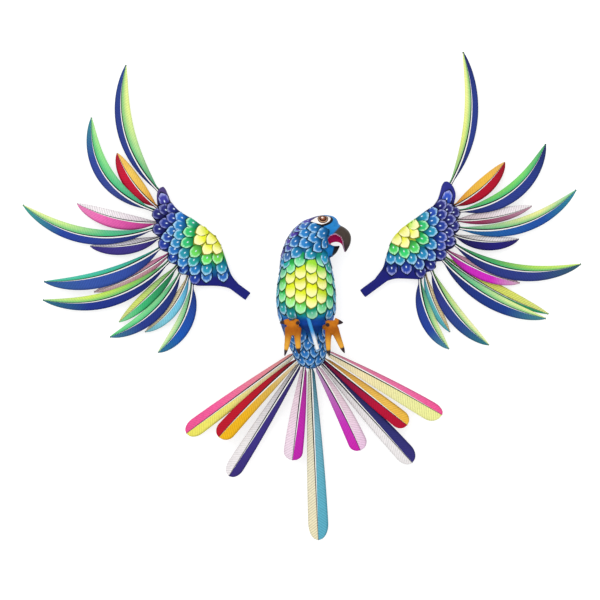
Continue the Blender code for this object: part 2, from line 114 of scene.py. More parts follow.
def between_rows(rows, at):
    """The values of a table at a place between its rows, on a smooth curve through them."""
    last = len(rows) - 1
    i = 0
    while i < last - 1 and rows[i + 1][0] < at:
        i += 1
    before, near, far, after = rows[max(i - 1, 0)], rows[i], rows[i + 1], rows[min(i + 2, last)]
    step = far[0] - near[0]
    t = min(max((at - near[0]) / step, 0.0), 1.0)
    values = []
    for k in range(1, len(near)):
        leave = (far[k] - before[k]) / (far[0] - before[0]) * step
        arrive = (after[k] - near[k]) / (after[0] - near[0]) * step
        values.append((2 * t**3 - 3 * t**2 + 1) * near[k] + (t**3 - 2 * t**2 + t) * leave
                      + (3 * t**2 - 2 * t**3) * far[k] + (t**3 - t**2) * arrive)
    return values


def body_point(y, turn, reach=1.0):
    """A place on the body, by its place along the bird and its turn round it."""
    left, right, back, belly = between_rows(BODY_SLICES, y)
    x = (left + right) / 2 + (right - left) / 2 * math.cos(turn) * reach
    z = (back + belly) / 2 + (belly - back) / 2 * math.sin(turn) * reach
    return Vector((x, y, max(z, 0.0))) * MM


def along_body(share, turn, reach):
    start, end = BODY_SPAN
    return body_point(start + (end - start) * share, turn, reach)


def along_bill(rows):
    """The skin of one half of the bill, between the slices of its table."""
    def bill_point(share, turn, reach):
        outer_x, outer_y, inner_x, inner_y, half = between_rows(rows, share * (len(rows) - 1))
        outer, inner = Vector((outer_x, outer_y, BILL_HEIGHT)), Vector((inner_x, inner_y, BILL_HEIGHT))
        side = (outer - inner) / 2 * math.cos(turn) + Vector((0, 0, half)) * math.sin(turn)
        return ((outer + inner) / 2 + side * reach) * MM

    return bill_point


def rounded_form(bm, point, facets):
    """A ball stretched over a form, which gives a point for each share of its length and turn round it."""
    ball = bmesh.ops.create_uvsphere(bm, u_segments=facets[0], v_segments=facets[1], radius=1.0)
    for vert in ball["verts"]:
        share = math.acos(min(max(vert.co.z, -1.0), 1.0)) / math.pi
        turn = math.atan2(vert.co.y, vert.co.x)
        at_pole = min(share, 1.0 - share) < POLE
        vert.co = point(share, turn, 0.0 if at_pole else 1.0)


def add_object(name, bm):
    mesh = bpy.data.meshes.new(name)
    bm.to_mesh(mesh)
    bm.free()
    obj = bpy.data.objects.new(name, mesh)
    bpy.context.scene.collection.objects.link(obj)
    return obj


def settle(obj):
    """Gives an object the mesh that its modifiers make."""
    graph = bpy.context.evaluated_depsgraph_get()
    shaped = bpy.data.meshes.new_from_object(obj.evaluated_get(graph))
    obj.modifiers.clear()
    obj.data = shaped


def sand(bm, verts, times):
    for _ in range(times):
        bmesh.ops.smooth_vert(bm, verts=verts, factor=SANDING,
                              use_axis_x=True, use_axis_y=True, use_axis_z=True)


def carve(name, bm, grain, sandings):
    """Joins overlapping forms into one sanded skin that stays above the table."""
    bmesh.ops.recalc_face_normals(bm, faces=bm.faces)
    obj = add_object(name, bm)
    skin = obj.modifiers.new("skin", "REMESH")
    skin.mode = "VOXEL"
    skin.voxel_size = grain * MM
    settle(obj)
    sanded = bmesh.new()
    sanded.from_mesh(obj.data)
    sand(sanded, sanded.verts, sandings)
    for vert in sanded.verts:
        vert.co.z = max(vert.co.z, 0.0)
    sanded.to_mesh(obj.data)
    sanded.free()
    return obj


def trim(obj, other, operation):
    """Cuts another shape out of an object, or keeps what both have, and takes the other shape away."""
    chisel = obj.modifiers.new("chisel", "BOOLEAN")
    chisel.operation = operation
    chisel.solver = "EXACT"
    chisel.object = other
    settle(obj)
    bpy.data.objects.remove(other)


def push(bm, face, lift):
    """Extrudes a face straight up or down."""
    pushed = bmesh.ops.extrude_face_region(bm, geom=[face])
    verts = [item for item in pushed["geom"] if isinstance(item, bmesh.types.BMVert)]
    bmesh.ops.translate(bm, verts=verts, vec=(0, 0, lift))


def slab(outline, low, high):
    """A straight-sided block under a flat outline."""
    bm = bmesh.new()
    face = bm.faces.new([bm.verts.new(Vector((x, y, low)) * MM) for x, y in outline])
    push(bm, face, (high - low) * MM)
    bmesh.ops.recalc_face_normals(bm, faces=bm.faces)
    return bm


def level(degrees):
    """A level heading, counted from the bird's left-to-right line."""
    return Vector((math.cos(math.radians(degrees)), math.sin(math.radians(degrees)), 0.0))


def bar(bm, end, heading, size):
    """A square bar whose far end is at a point, lying level along a heading."""
    box = bmesh.ops.create_cube(bm, size=1.0)
    ahead = level(heading)
    aside = Vector((-ahead.y, ahead.x, 0.0))
    for vert in box["verts"]:
        x, y, z = vert.co
        place = Vector(end) + ahead * (x - 0.5) * size[0] + aside * y * size[1]
        vert.co = (place + Vector((0, 0, z * size[2]))) * MM


block = bmesh.new()
rounded_form(block, along_body, BODY_FACETS)
rounded_form(block, along_bill(UPPER_BILL), UPPER_BILL_FACETS)
rounded_form(block, along_bill(LOWER_BILL), LOWER_BILL_FACETS)
carved_body = carve("carved_body", block, BODY_GRAIN, BODY_SANDINGS)
for mouth_floor in (BILL_HEIGHT + MOUTH_WEB, -MOUTH_WEB):
    mouth = slab(MOUTH_RIM, mouth_floor, mouth_floor + BILL_HEIGHT)
    trim(carved_body, add_object("mouth", mouth), "DIFFERENCE")
for socket_end, socket_heading in SOCKETS:
    socket = bmesh.new()
    bar(socket, socket_end, socket_heading, SOCKET_SIZE)
    trim(carved_body, add_object("socket", socket), "DIFFERENCE")
body_skin = BVHTree.FromObject(carved_body, bpy.context.evaluated_depsgraph_get())

# The carving is brushed with water paint and a thin satin varnish. The belly is yellow and runs through
# green to blue flanks, the bill is grey-brown with a magenta mouth, and the rump is deep blue.

# The middle of the belly's yellow, its reach along and round the bird, and the paints outwards from it.
BELLY_CENTRE = 15.4
BELLY_REACH = 20.8
BELLY_TURN = 52.0
BELLY_PAINTS = ((0.0, "e8ec16"), (0.78, "deee22"), (0.94, "90e23c"), (1.14, "1ccc58"), (1.42, "0cac90"),
                (1.7, "0c8cc4"), (2.3, "105cb4"), (3.0, "282890"))
DEEP_BLUE = "0a4aac"
RUMP_BLUE = "0868b4"
HEAD_BLUE = "0872b8"
FACE_BLUE = "2484cc"
NAPE_PURPLE = "44289a"
NECK_TEAL = "0c9cae"
BILL_GREY = "443a34"
BILL_TIP = "35262a"
BILL_BLACK = "101218"
MOUTH_MAGENTA = "aa0850"
MOUTH_EDGE = "eebcdc"
BILL_EDGE = ((35.6, 56.5), (37.6, 47.0))

# Where one paint runs into the next, as two places along the bird, or across it for the nape, cheek and bill.
NECK_BLEND = (41, 47)
COLLAR_BLEND = (50, 44)
NAPE_BLEND = (0.45, 0.85)
HIP_BLEND = (-13, -22)
RUMP_BLEND = (-30, -38)
BARE_BAND = ((-13, -16), (-27, -23))
BROW_BLEND = (66, 72)
CHEEK_BLEND = (15, 21)
CHEEK_LEVEL = 60
CHEEK_LEAN = 0.05
BILL_BLEND = (60, 50)
CERE = (27.1, 67.4)
CERE_SLOPE = 0.88
CERE_DROP = -2.0
CERE_BLEND = (-0.8, 1.4)
GAPE_BLEND = (55, 57)
GAPE_CORNER = 30
GAPE_SLOPE = 2
JAW_TOP = (55, 53)
JAW_TIP = (36, 34)
JAW_BLEND = (25.4, 26.8)
JAW_LEVEL = 50
JAW_LEAN = 0.25

# Where the face starts, how the mouth is edged, and how the brushwork shows.
FACE_CORNER = (14, 40)
RIM_ABOVE = 55.5
RIM_WALL = 0.05
BILL_EDGE_GAP = 0.3
BILL_EDGE_LIMIT = 38
MOUTH_EDGE_BLEND = (1.0, 0.3)
MOUTH_EDGE_STRENGTH = 0.85
GAP_SHADE = 0.5
SATIN_SHINE = 0.12
WOOD_ROUGHNESS = 0.45
WOOD_STROKES = (420.0, 0.09)
STROKE_DETAIL = 4.0
STROKE_RANGE = (0.3, 0.7)
RELIEF_STRENGTH = 0.25
RELIEF_DEPTH = 0.3


def pigment(code):
    """A paint colour for the shaders, from its usual six figures."""
    parts = [int(code[i:i + 2], 16) / 255 for i in (0, 2, 4)]
    return Vector([c / 12.92 if c <= 0.04045 else ((c + 0.055) / 1.055) ** 2.4 for c in parts])


def ramp(stops, at):
    """A paint between the two nearest stops of a row of paints."""
    low, high = stops[0], stops[-1]
    for near, far in zip(stops, stops[1:]):
        if near[0] <= at <= far[0]:
            low, high = near, far
    share = min(max((at - low[0]) / (high[0] - low[0]), 0.0), 1.0)
    return pigment(low[1]).lerp(pigment(high[1]), share)


def ease(low, high, at):
    """A share that rises gently from 0 to 1 between two places."""
    share = min(max((at - low) / (high - low), 0.0), 1.0)
    return share * share * (3 - 2 * share)


def plumage(x, y, z):
    """The paint of the feathered parts of the body, at a place in millimetres."""
    left, right, back, belly = between_rows(BODY_SLICES, min(max(y, BODY_SPAN[0]), BODY_SPAN[1]))
    aside = (x - (left + right) / 2) / ((right - left) / 2)
    ahead = (z - (back + belly) / 2) / ((belly - back) / 2)
    turn = abs(math.degrees(math.atan2(aside, ahead)))
    colour = ramp(BELLY_PAINTS, math.hypot(turn / BELLY_TURN, (y - BELLY_CENTRE) / BELLY_REACH))
    on_head = ease(*NECK_BLEND, y)
    head = pigment(HEAD_BLUE).lerp(pigment(NECK_TEAL), ease(*COLLAR_BLEND, y))
    colour = colour.lerp(head, on_head)
    colour = colour.lerp(pigment(NAPE_PURPLE), ease(*NAPE_BLEND, -aside) * on_head)
    rump = pigment(DEEP_BLUE).lerp(pigment(RUMP_BLUE), ease(*RUMP_BLEND, y))
    return colour.lerp(rump, ease(*HIP_BLEND, y))


def off_line(x, y, one, two):
    """Distance of a place from a straight line between two points, in millimetres."""
    start, run = Vector(one), Vector(two) - Vector(one)
    reach = Vector((x, y)) - start
    share = min(max(reach.dot(run) / run.length_squared, 0.0), 1.0)
    return (reach - run * share).length


def rim_sides():
    return zip(MOUTH_RIM, MOUTH_RIM[1:] + MOUTH_RIM[:1])


def in_mouth(x, y):
    """Counts the sides of the mouth's rim to one hand of a place: an odd number means that it is inside."""
    inside = False
    for (ax, ay), (bx, by) in rim_sides():
        if (ay > y) != (by > y) and x < ax + (y - ay) / (by - ay) * (bx - ax):
            inside = not inside
    return inside


def face_paint(x, y, colour):
    """The bare face, the bill and the mouth, over the head's own paint."""
    face = pigment(HEAD_BLUE).lerp(pigment(FACE_BLUE), ease(*BROW_BLEND, y))
    colour = colour.lerp(face, ease(*CHEEK_BLEND, x + (y - CHEEK_LEVEL) * CHEEK_LEAN))
    horn = pigment(BILL_GREY).lerp(pigment(BILL_TIP), ease(*BILL_BLEND, y))
    past_cere = x - CERE[0] - CERE_SLOPE * max(y - CERE[1], CERE_DROP)
    above_gape = ease(*GAPE_BLEND, y + (x - GAPE_CORNER) * GAPE_SLOPE)
    colour = colour.lerp(horn, ease(*CERE_BLEND, past_cere) * above_gape)
    lower = ease(*JAW_TOP, y) * ease(*JAW_TIP, x)
    colour = colour.lerp(pigment(BILL_BLACK), lower * ease(*JAW_BLEND, x - (y - JAW_LEVEL) * JAW_LEAN))
    rim = min(off_line(x, y, one, two) for one, two in rim_sides())
    edge = off_line(x, y, *BILL_EDGE) + BILL_EDGE_GAP
    if y > RIM_ABOVE:
        edge = min(edge, rim)
    if in_mouth(x, y) or rim < RIM_WALL:
        return pigment(MOUTH_MAGENTA)
    if x < BILL_EDGE_LIMIT:
        colour = colour.lerp(pigment(MOUTH_EDGE), MOUTH_EDGE_STRENGTH * ease(*MOUTH_EDGE_BLEND, edge))
    return colour


def body_paint(co):
    """Dark in the gaps between scales, plain in the bare band between the feet, and the face at the front."""
    x, y, z = co / MM
    bare = ease(*BARE_BAND[0], y) * ease(*BARE_BAND[1], y)
    colour = plumage(x, y, z) * (GAP_SHADE + (1 - GAP_SHADE) * bare)
    if x > FACE_CORNER[0] and y > FACE_CORNER[1]:
        colour = face_paint(x, y, colour)
    return colour


def add_paint(obj, paint):
    layer = obj.data.color_attributes.new("paint", "FLOAT_COLOR", "POINT")
    for vert, dab in zip(obj.data.vertices, layer.data):
        dab.color = (*paint(vert.co), 1.0)


class Finish:
    """A paint as it is mixed: its material, and the nodes that lead to its shader."""

    def __init__(self, name, roughness, shine=SATIN_SHINE):
        self.material = bpy.data.materials.new(name)
        self.material.use_nodes = True
        self.shader = self.material.node_tree.nodes["Principled BSDF"]
        self.feed(self.shader, {"Roughness": roughness, "Specular IOR Level": shine})

    def feed(self, node, entries):
        """Gives a node's entries a number or a colour, or links another node's output to them."""
        for entry, value in entries.items():
            if isinstance(value, bpy.types.NodeSocket):
                self.material.node_tree.links.new(value, node.inputs[entry])
            else:
                node.inputs[entry].default_value = value

    def add(self, kind, entries, **settings):
        node = self.material.node_tree.nodes.new(kind)
        for setting, value in settings.items():
            setattr(node, setting, value)
        self.feed(node, entries)
        return node

    def maths(self, operation, *values):
        return self.add("ShaderNodeMath", dict(enumerate(values)), operation=operation).outputs["Value"]

    def gauge(self, value, low, high, to_low=0.0, to_high=1.0, curve="SMOOTHSTEP"):
        """Reads a value off a scale between two ends."""
        entries = {"Value": value, "From Min": low, "From Max": high, "To Min": to_low, "To Max": to_high}
        return self.add("ShaderNodeMapRange", entries, interpolation_type=curve).outputs["Result"]

    def shaded(self, colour, strength):
        entries = {0: colour, "Scale": strength}
        return self.add("ShaderNodeVectorMath", entries, operation="SCALE").outputs["Vector"]

    def mixed(self, share, one, two):
        entries = {"Factor": share, "A": one, "B": two}
        return self.add("ShaderNodeMix", entries, data_type="RGBA").outputs["Result"]

    def painted(self, layer):
        """The colour and the strength of a piece's own paint layer."""
        paint = self.add("ShaderNodeAttribute", {}, attribute_name=layer)
        return paint.outputs["Color"], paint.outputs["Alpha"]

    def plan(self, uv_map):
        """A piece's own map, whole and as its two directions."""
        whole = self.add("ShaderNodeUVMap", {}, uv_map=uv_map).outputs["UV"]
        split = self.add("ShaderNodeSeparateXYZ", {"Vector": whole})
        return whole, split.outputs["X"], split.outputs["Y"]

    def brush_on(self, colour, scale, depth):
        """Lays a colour on in uneven brush strokes, with a faint relief."""
        place = self.add("ShaderNodeTexCoord", {}).outputs["Object"]
        noise = {"Vector": place, "Scale": scale, "Detail": STROKE_DETAIL}
        strokes = self.add("ShaderNodeTexNoise", noise).outputs["Fac"]
        strength = self.gauge(strokes, *STROKE_RANGE, 1.0 - depth, 1.0 + depth, curve="LINEAR")
        ridges = {"Height": strokes, "Strength": RELIEF_STRENGTH, "Distance": RELIEF_DEPTH * MM}
        relief = self.add("ShaderNodeBump", ridges).outputs["Normal"]
        self.feed(self.shader, {"Base Color": self.shaded(colour, strength), "Normal": relief})


def painted_wood():
    coat = Finish("painted_wood", WOOD_ROUGHNESS)
    colour, _ = coat.painted("paint")
    coat.brush_on(colour, *WOOD_STROKES)
    return coat.material


wood_finish = painted_wood()


def show(obj, finish, rider, *nodes):
    """Finishes a piece: smooth faces, its paint, what carries it, and what it stands for."""
    obj.data.materials.clear()
    obj.data.materials.append(finish)
    for face in obj.data.polygons:
        face.use_smooth = True
    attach(obj, rider)
    if nodes:
        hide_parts(*nodes)


add_paint(carved_body, body_paint)
show(carved_body, wood_finish, "parrot_body", "body")

# Small overlapping feathers are cut into the skin with a gouge, and each is painted by hand: a dark
# outline, a pale brushed edge and a white dot. On the yellow belly they fade to cream and have no dot.

# A scale's relief over the skin, and how its square sheet is rounded off, crowned and fitted to the skin.
SCALE_SINK = -0.25
SCALE_RISE = 0.9
SCALE_CROWN = 0.35
SCALE_THICK = 1.0
SCALE_LOWEST = 1.2
SCALE_FACETS = (6, 5)
SCALE_ROUNDING = (0.34, 0.5)
SKIN_NEAR = 3.5
SKIN_ABOVE = 6.0
SKIN_BELOW = 8.0

# The white of the dots, and the pale edges of blue, yellow and green scales.
SPOT_WHITE = "e0f0ff"
EDGE_PALE = "b4dcf8"
EDGE_CREAM = "fbf7b8"
EDGE_MINT = "c0f6cc"

# Paint marks on one scale, by its map from -1 to 1: where each starts and ends, then how strong it is there.
ROOT_SHADE = (-0.9, 0.4, 0.4, 1.05)
PLAIN_SHADE = 0.95
MIX_TO_MIX = (0.0, 1.0, 0.9, 1.1)
PLAIN_FADE = (-0.45, 0.7, 0.0, 0.85)
BAND_INWARDS = (0.44, 0.76)
BAND_ALONG = (-0.3, 0.35)
FAN_ROOT = 0.7
BRISTLES = (7.0, 1.0)
BRISTLES_APART = 60.0
BRISTLE_MARKS = (0.34, 0.56, 0.3, 1.0)
SPOT_HALF = (0.1, 0.14)
SPOT_BACK = 0.02
SPOT_EDGE = (1.1, 0.4)
SPOT_HALO = (8.0, 0.4, 0.0, 0.04)
OUTLINE_EDGE = (0.81, 0.89)
OUTLINE_DARK = 0.1
OUTLINE_PLAIN = 0.2
SCALE_ROUGHNESS = 0.42
SCALE_STROKES = (700.0, 0.08)


def scale_paint():
    """Painted by each scale's own map: across it, and along it from the root to the tip."""
    coat = Finish("scale_paint", SCALE_ROUGHNESS)
    own, spotted = coat.painted("paint")
    pale, edging = coat.painted("edge")
    _, u, v = coat.plan("scale")
    across = coat.maths("MULTIPLY_ADD", u, 2.0, -1.0)
    along = coat.maths("MULTIPLY_ADD", v, 2.0, -1.0)
    border = coat.maths("MAXIMUM", coat.maths("ABSOLUTE", across), along)
    each = coat.add("ShaderNodeNewGeometry", {}).outputs["Random Per Island"]
    plain = coat.maths("SUBTRACT", 1.0, spotted)

    # The root lies in shade, the mix differs a little from scale to scale, and plain scales fade to the tip.
    shade = coat.maths("MAXIMUM", coat.gauge(along, *ROOT_SHADE), coat.maths("MULTIPLY", plain, PLAIN_SHADE))
    colour = coat.shaded(own, coat.maths("MULTIPLY", shade, coat.gauge(each, *MIX_TO_MIX)))
    fade = coat.maths("MULTIPLY", plain, coat.gauge(along, *PLAIN_FADE))
    colour = coat.mixed(fade, colour, pale)

    # The pale edge is drawn inwards with a dry brush, whose bristles fan out from the root.
    fan = coat.maths("ARCTAN2", across, coat.maths("ADD", along, FAN_ROOT))
    bristle = coat.maths("ADD", fan, coat.maths("MULTIPLY", each, BRISTLES_APART))
    noise = {"W": bristle, "Scale": BRISTLES[0], "Detail": BRISTLES[1]}
    bristles = coat.add("ShaderNodeTexNoise", noise, noise_dimensions="1D").outputs["Fac"]
    band = coat.maths("MULTIPLY", coat.gauge(border, *BAND_INWARDS), coat.gauge(along, *BAND_ALONG))
    band = coat.maths("MULTIPLY", band, coat.gauge(bristles, *BRISTLE_MARKS))
    colour = coat.mixed(coat.maths("MULTIPLY", band, edging), colour, pale)

    # The dot is set with the end of a stick, and the outline is drawn last.
    wide = coat.maths("POWER", coat.maths("DIVIDE", across, SPOT_HALF[0]), 2.0)
    tall = coat.maths("DIVIDE", coat.maths("ADD", along, SPOT_BACK), SPOT_HALF[1])
    ring = coat.maths("ADD", wide, coat.maths("POWER", tall, 2.0))
    dot = coat.maths("MAXIMUM", coat.gauge(ring, *SPOT_EDGE), coat.gauge(ring, *SPOT_HALO))
    colour = coat.mixed(coat.maths("MULTIPLY", dot, spotted), colour, (*pigment(SPOT_WHITE), 1.0))
    dark = coat.shaded(own, coat.maths("ADD", coat.maths("MULTIPLY", plain, OUTLINE_PLAIN), OUTLINE_DARK))
    colour = coat.mixed(coat.gauge(border, *OUTLINE_EDGE), colour, dark)
    coat.brush_on(colour, *SCALE_STROKES)
    return coat.material


scale_finish = scale_paint()


def start_scales():
    """An empty sheet of scales, with its map and its two paints."""
    bm = bmesh.new()
    bm.loops.layers.uv.new("scale")
    bm.loops.layers.float_color.new("paint")
    bm.loops.layers.float_color.new("edge")
    return bm


def faces_of(verts):
    return {face for vert in verts for face in vert.link_faces}


def lay_scale(bm, skin, spot, outward, heading, size, paints):
    """Lays one scale on a skin: a small round or pointed sheet whose tip stands off the wood."""
    half_wide, half_long, point = size
    outward = sum((near[1] for near in skin.find_nearest_range(spot, SKIN_NEAR * MM)), outward).normalized()
    along = level(heading)
    along = (along - outward * along.dot(outward)).normalized()
    across = along.cross(outward)
    sheet = bmesh.ops.create_grid(bm, x_segments=SCALE_FACETS[0], y_segments=SCALE_FACETS[1], size=1.0,
                                  calc_uvs=True)
    for vert in sheet["verts"]:
        s, t = vert.co.x, vert.co.y
        place = across * (s * math.sqrt(1 - t * t * SCALE_ROUNDING[0]) * half_wide)
        tip = point * max(t, 0.0) * (0.5 - abs(s))
        place += along * (t * math.sqrt(1 - s * s * SCALE_ROUNDING[1]) + tip) * half_long
        above = spot + (place + outward * SKIN_ABOVE) * MM
        hit, face_out, _, _ = skin.ray_cast(above, -outward, (SKIN_ABOVE + SKIN_BELOW) * MM)
        if hit is None:
            hit, face_out, _, _ = skin.find_nearest(spot + place * MM)
        lift = SCALE_SINK + SCALE_RISE * (t + 1) / 2 + SCALE_CROWN * (1 - s * s)
        vert.co = hit + face_out * lift * MM
        vert.co.z = max(vert.co.z, SCALE_LOWEST * MM)
    layers = bm.loops.layers.float_color["paint"], bm.loops.layers.float_color["edge"]
    for face in faces_of(sheet["verts"]):
        for loop in face.loops:
            for layer, paint in zip(layers, paints):
                loop[layer] = paint


def thicken(obj, thickness):
    """Gives a thin sheet its thickness, inwards from the face that shows."""
    wood = obj.modifiers.new("thickness", "SOLIDIFY")
    wood.thickness = thickness * MM
    wood.offset = -1.0


def finish_scales(name, bm, rider):
    scales = add_object(name, bm)
    thicken(scales, SCALE_THICK)
    show(scales, scale_finish, rider)


DOWN, UP = -1, 1
WELL_CLEAR = 200.0


def meet(skin, x, y, way):
    """Where a straight line down or up through a place meets a skin, and which way the skin faces there."""
    start = Vector((x * MM, y * MM, -way * WELL_CLEAR * MM))
    hit, outward, _, _ = skin.ray_cast(start, Vector((0, 0, way)))
    return hit, outward


# Belly and flank rows, from the neck to the hips, and rump rows below the feet: top, bottom, spacing, pitch
# and the first scale's place; then a scale's half width, half length and pointedness.
BELLY_ROWS = (40.5, -13.0, 5.9, 21.6, 5.4)
RUMP_ROWS = (-28.5, -66.0, 7.5, 10.6, 0.0)
BELLY_SCALE = (6.3, 8.0, 0.25)
RUMP_SCALE = (5.5, 7.4, 0.55)
HAND_LEAN = 13.0
HAND_SLIP = 0.9

# No scale lies near the mouths of the two sockets or the dowel between the feet: places and distances.
CLEAR_OF = (((-23.5, -22.8, 7.0), 14.0), ((23.0, -17.8, 7.0), 14.0), ((4.0, -26.0, 37.0), 10.5))

# Head scales, placed one by one: middle and heading. They sweep back from the bill to the nape.
HEAD_SCALES = (
    (8.3, 72.0, 185), (-0.8, 67.0, 195), (8.3, 62.3, 195), (-0.8, 57.0, 205), (11.8, 53.0, 205),
    (-11.2, 58.3, 205), (-10.0, 48.0, 225), (4.3, 46.2, 215), (-19.0, 45.0, 235), (-12.3, 67.0, 195),
    (-1.2, 74.6, 188), (17.5, 42.4, 240), (16.6, 66.3, 190), (18.0, 57.5, 200), (-17.0, 54.0, 215),
    (-6.8, 72.5, 195), (-20.5, 38.5, 245), (-16.8, 60.5, 205), (1.0, 79.0, 190),
)
HEAD_SCALE = (6.6, 7.2, 0.6)

# Nape scales round the side of the head, by their places along the body and above the back.
NAPE_SCALES = (
    (72.0, 18.0), (66.0, 12.5), (66.0, 23.5), (59.5, 7.5), (59.5, 18.0), (59.5, 28.5), (52.5, 13.0),
    (52.5, 23.5), (46.0, 8.0), (46.0, 18.0), (46.0, 28.0), (40.5, 13.0), (40.5, 23.5),
)
NAPE_HEADING = 262

# A hand-cut row isn't quite even: how fast the slip and the lean change from scale to scale.
SLIP_CHANGES = (7.0, 1.7)
LEAN_CHANGES = (5.3, 2.9)
TAILWARDS = 270
HALF_TURN = 180
LEAST_FACING = -0.6
LEAST_HEIGHT = 3.0

# A scale's paint is told by its red, and by its green beside its blue. Then the strengths of dots and edges.
YELLOW_FROM = 0.3
GREEN_FROM = 1.25
GREEN_DOT = 0.4
BLUE_DOT = 0.95
CREAM_EDGE = 0.3
MINT_EDGE = 0.85
UPPER_EDGE = 0.92
RUMP_EDGE = 0.75
RUMP_TOP = -20


def ring_turns(y, pitch, offset):
    """Turns round the body at even spaces along its skin, counted both ways from the belly's middle line."""
    middle = math.pi / 2
    turns = [middle] if offset == 0.0 else []
    for way, aim in ((1, offset or pitch), (-1, pitch - offset)):
        walked = 0.0
        last = body_point(y, middle)
        for degrees in range(1, HALF_TURN + 1):
            turn = middle + way * math.radians(degrees)
            here = body_point(y, turn)
            walked += (here - last).length / MM
            last = here
            if walked >= aim:
                turns.append(turn)
                aim += pitch
    return turns


def scale_look(x, y, z):
    """The paints of one body scale: its own with its dot's strength, and its edge's with the edge's."""
    own = plumage(x, y, z)
    if own.x > YELLOW_FROM:
        return (*own, 0.0), (*pigment(EDGE_CREAM), CREAM_EDGE)
    if own.y > own.z * GREEN_FROM:
        return (*own, GREEN_DOT), (*pigment(EDGE_MINT), MINT_EDGE)
    return (*own, BLUE_DOT), (*pigment(EDGE_PALE), UPPER_EDGE if y > RUMP_TOP else RUMP_EDGE)


def lay_rows(bm, rows, size):
    start, stop, spacing, pitch, first = rows
    for row in range(int((start - stop) / spacing) + 1):
        y = start - row * spacing
        for turn in ring_turns(y, pitch, first + (row % 2) * pitch / 2):
            slip = HAND_SLIP * math.sin(SLIP_CHANGES[0] * turn + SLIP_CHANGES[1] * row)
            spot, outward, _, _ = body_skin.find_nearest(body_point(y + slip, turn))
            place = spot / MM
            clear = all((place - Vector(middle)).length > radius for middle, radius in CLEAR_OF)
            if outward.z > LEAST_FACING and place.z > LEAST_HEIGHT and clear:
                lean = HAND_LEAN * math.sin(LEAN_CHANGES[0] * place.x + LEAN_CHANGES[1] * y)
                lay_scale(bm, body_skin, spot, outward, TAILWARDS + lean, size, scale_look(*place))


body_scales = start_scales()
lay_rows(body_scales, BELLY_ROWS, BELLY_SCALE)
lay_rows(body_scales, RUMP_ROWS, RUMP_SCALE)
for x, y, heading in HEAD_SCALES:
    for way in (DOWN, UP):
        spot, outward = meet(body_skin, x, y, way)
        if spot:
            look = scale_look(x, y, spot.z / MM)
            lay_scale(body_scales, body_skin, spot, outward, heading, HEAD_SCALE, look)
for y, z in NAPE_SCALES:
    beside = Vector((-WELL_CLEAR * MM, y * MM, z * MM))
    spot, outward, _, _ = body_skin.ray_cast(beside, Vector((1, 0, 0)))
    lay_scale(body_scales, body_skin, spot, outward, NAPE_HEADING, HEAD_SCALE, scale_look(*spot / MM))
finish_scales("body_scales", body_scales, "parrot_body")

# The eyes are painted on each side of the crown: a white almond with a heavy black line, brown rings, and a
# small pale dot as a painted highlight.
# Each coat stands a hair above the last.

# Each coat: middle, tilt, half width, half height, height over the wood and colour.
EYE_COATS = (
    ((14.3, 78.8), 7.0, 11.4, 5.7, 0.30, "0c1016"),
    ((13.5, 79.3), 8.0, 9.9, 4.5, 0.50, "fbf4f0"),
    ((15.7, 80.3), 0.0, 5.1, 4.2, 0.70, "32160a"),
    ((15.7, 80.3), 0.0, 4.4, 3.5, 0.85, "c49a78"),
    ((15.7, 80.4), 0.0, 3.7, 2.9, 1.00, "3a190d"),
    ((15.6, 80.5), 0.0, 2.3, 1.8, 1.15, "8e5034"),
    # The last coat is a painted highlight: a small pale dot set up and to the left in the iris.
    ((15.2, 80.9), 0.0, 1.1, 0.8, 1.30, "f4dccc"),
)
EYE_TAIL = 0.75
EYE_TOP = 81.5
EYE_ROOM = 2.6
ALMOND_FROM = 6
EYE_FACETS = (14, 8)
EYE_FILM = 0.3

eye_paint = bmesh.new()
eye_layer = eye_paint.verts.layers.float_color.new("paint")
for way in (DOWN, UP):
    for (mid_x, mid_y), tilt, half_wide, half_high, lift, code in EYE_COATS:
        swing = level(tilt)
        film = bmesh.ops.create_grid(eye_paint, x_segments=EYE_FACETS[0], y_segments=EYE_FACETS[1], size=1.0)
        for vert in film["verts"]:
            s, t = vert.co.x, vert.co.y
            round_s, round_t = s * math.sqrt(1 - t * t / 2), t * math.sqrt(1 - s * s / 2)
            if half_wide > ALMOND_FROM:
                round_t *= 1 - EYE_TAIL * max(0.0, -round_s)
            x = mid_x + round_s * half_wide * swing.x - round_t * half_high * swing.y
            y = mid_y + round_s * half_wide * swing.y + round_t * half_high * swing.x
            if y > EYE_TOP:
                y = EYE_TOP + EYE_ROOM * (1 - math.exp((EYE_TOP - y) / EYE_ROOM))
            spot, outward = meet(body_skin, x, y, way)
            if spot is None:
                spot, outward, _, _ = body_skin.find_nearest(Vector((x, y, BILL_HEIGHT)) * MM)
            vert.co = spot + outward * lift * MM
            vert[eye_layer] = (*pigment(code), 1.0)
        if way == UP:
            bmesh.ops.reverse_faces(eye_paint, faces=list(faces_of(film["verts"])))
painted_eyes = add_object("painted_eyes", eye_paint)
thicken(painted_eyes, EYE_FILM)
show(painted_eyes, wood_finish, "parrot_body")

# The feet are whittled separately, two long toes in front of a round palm and two short ones behind, and
# glued on short dowels that come out of the belly. They are orange with dark claws.

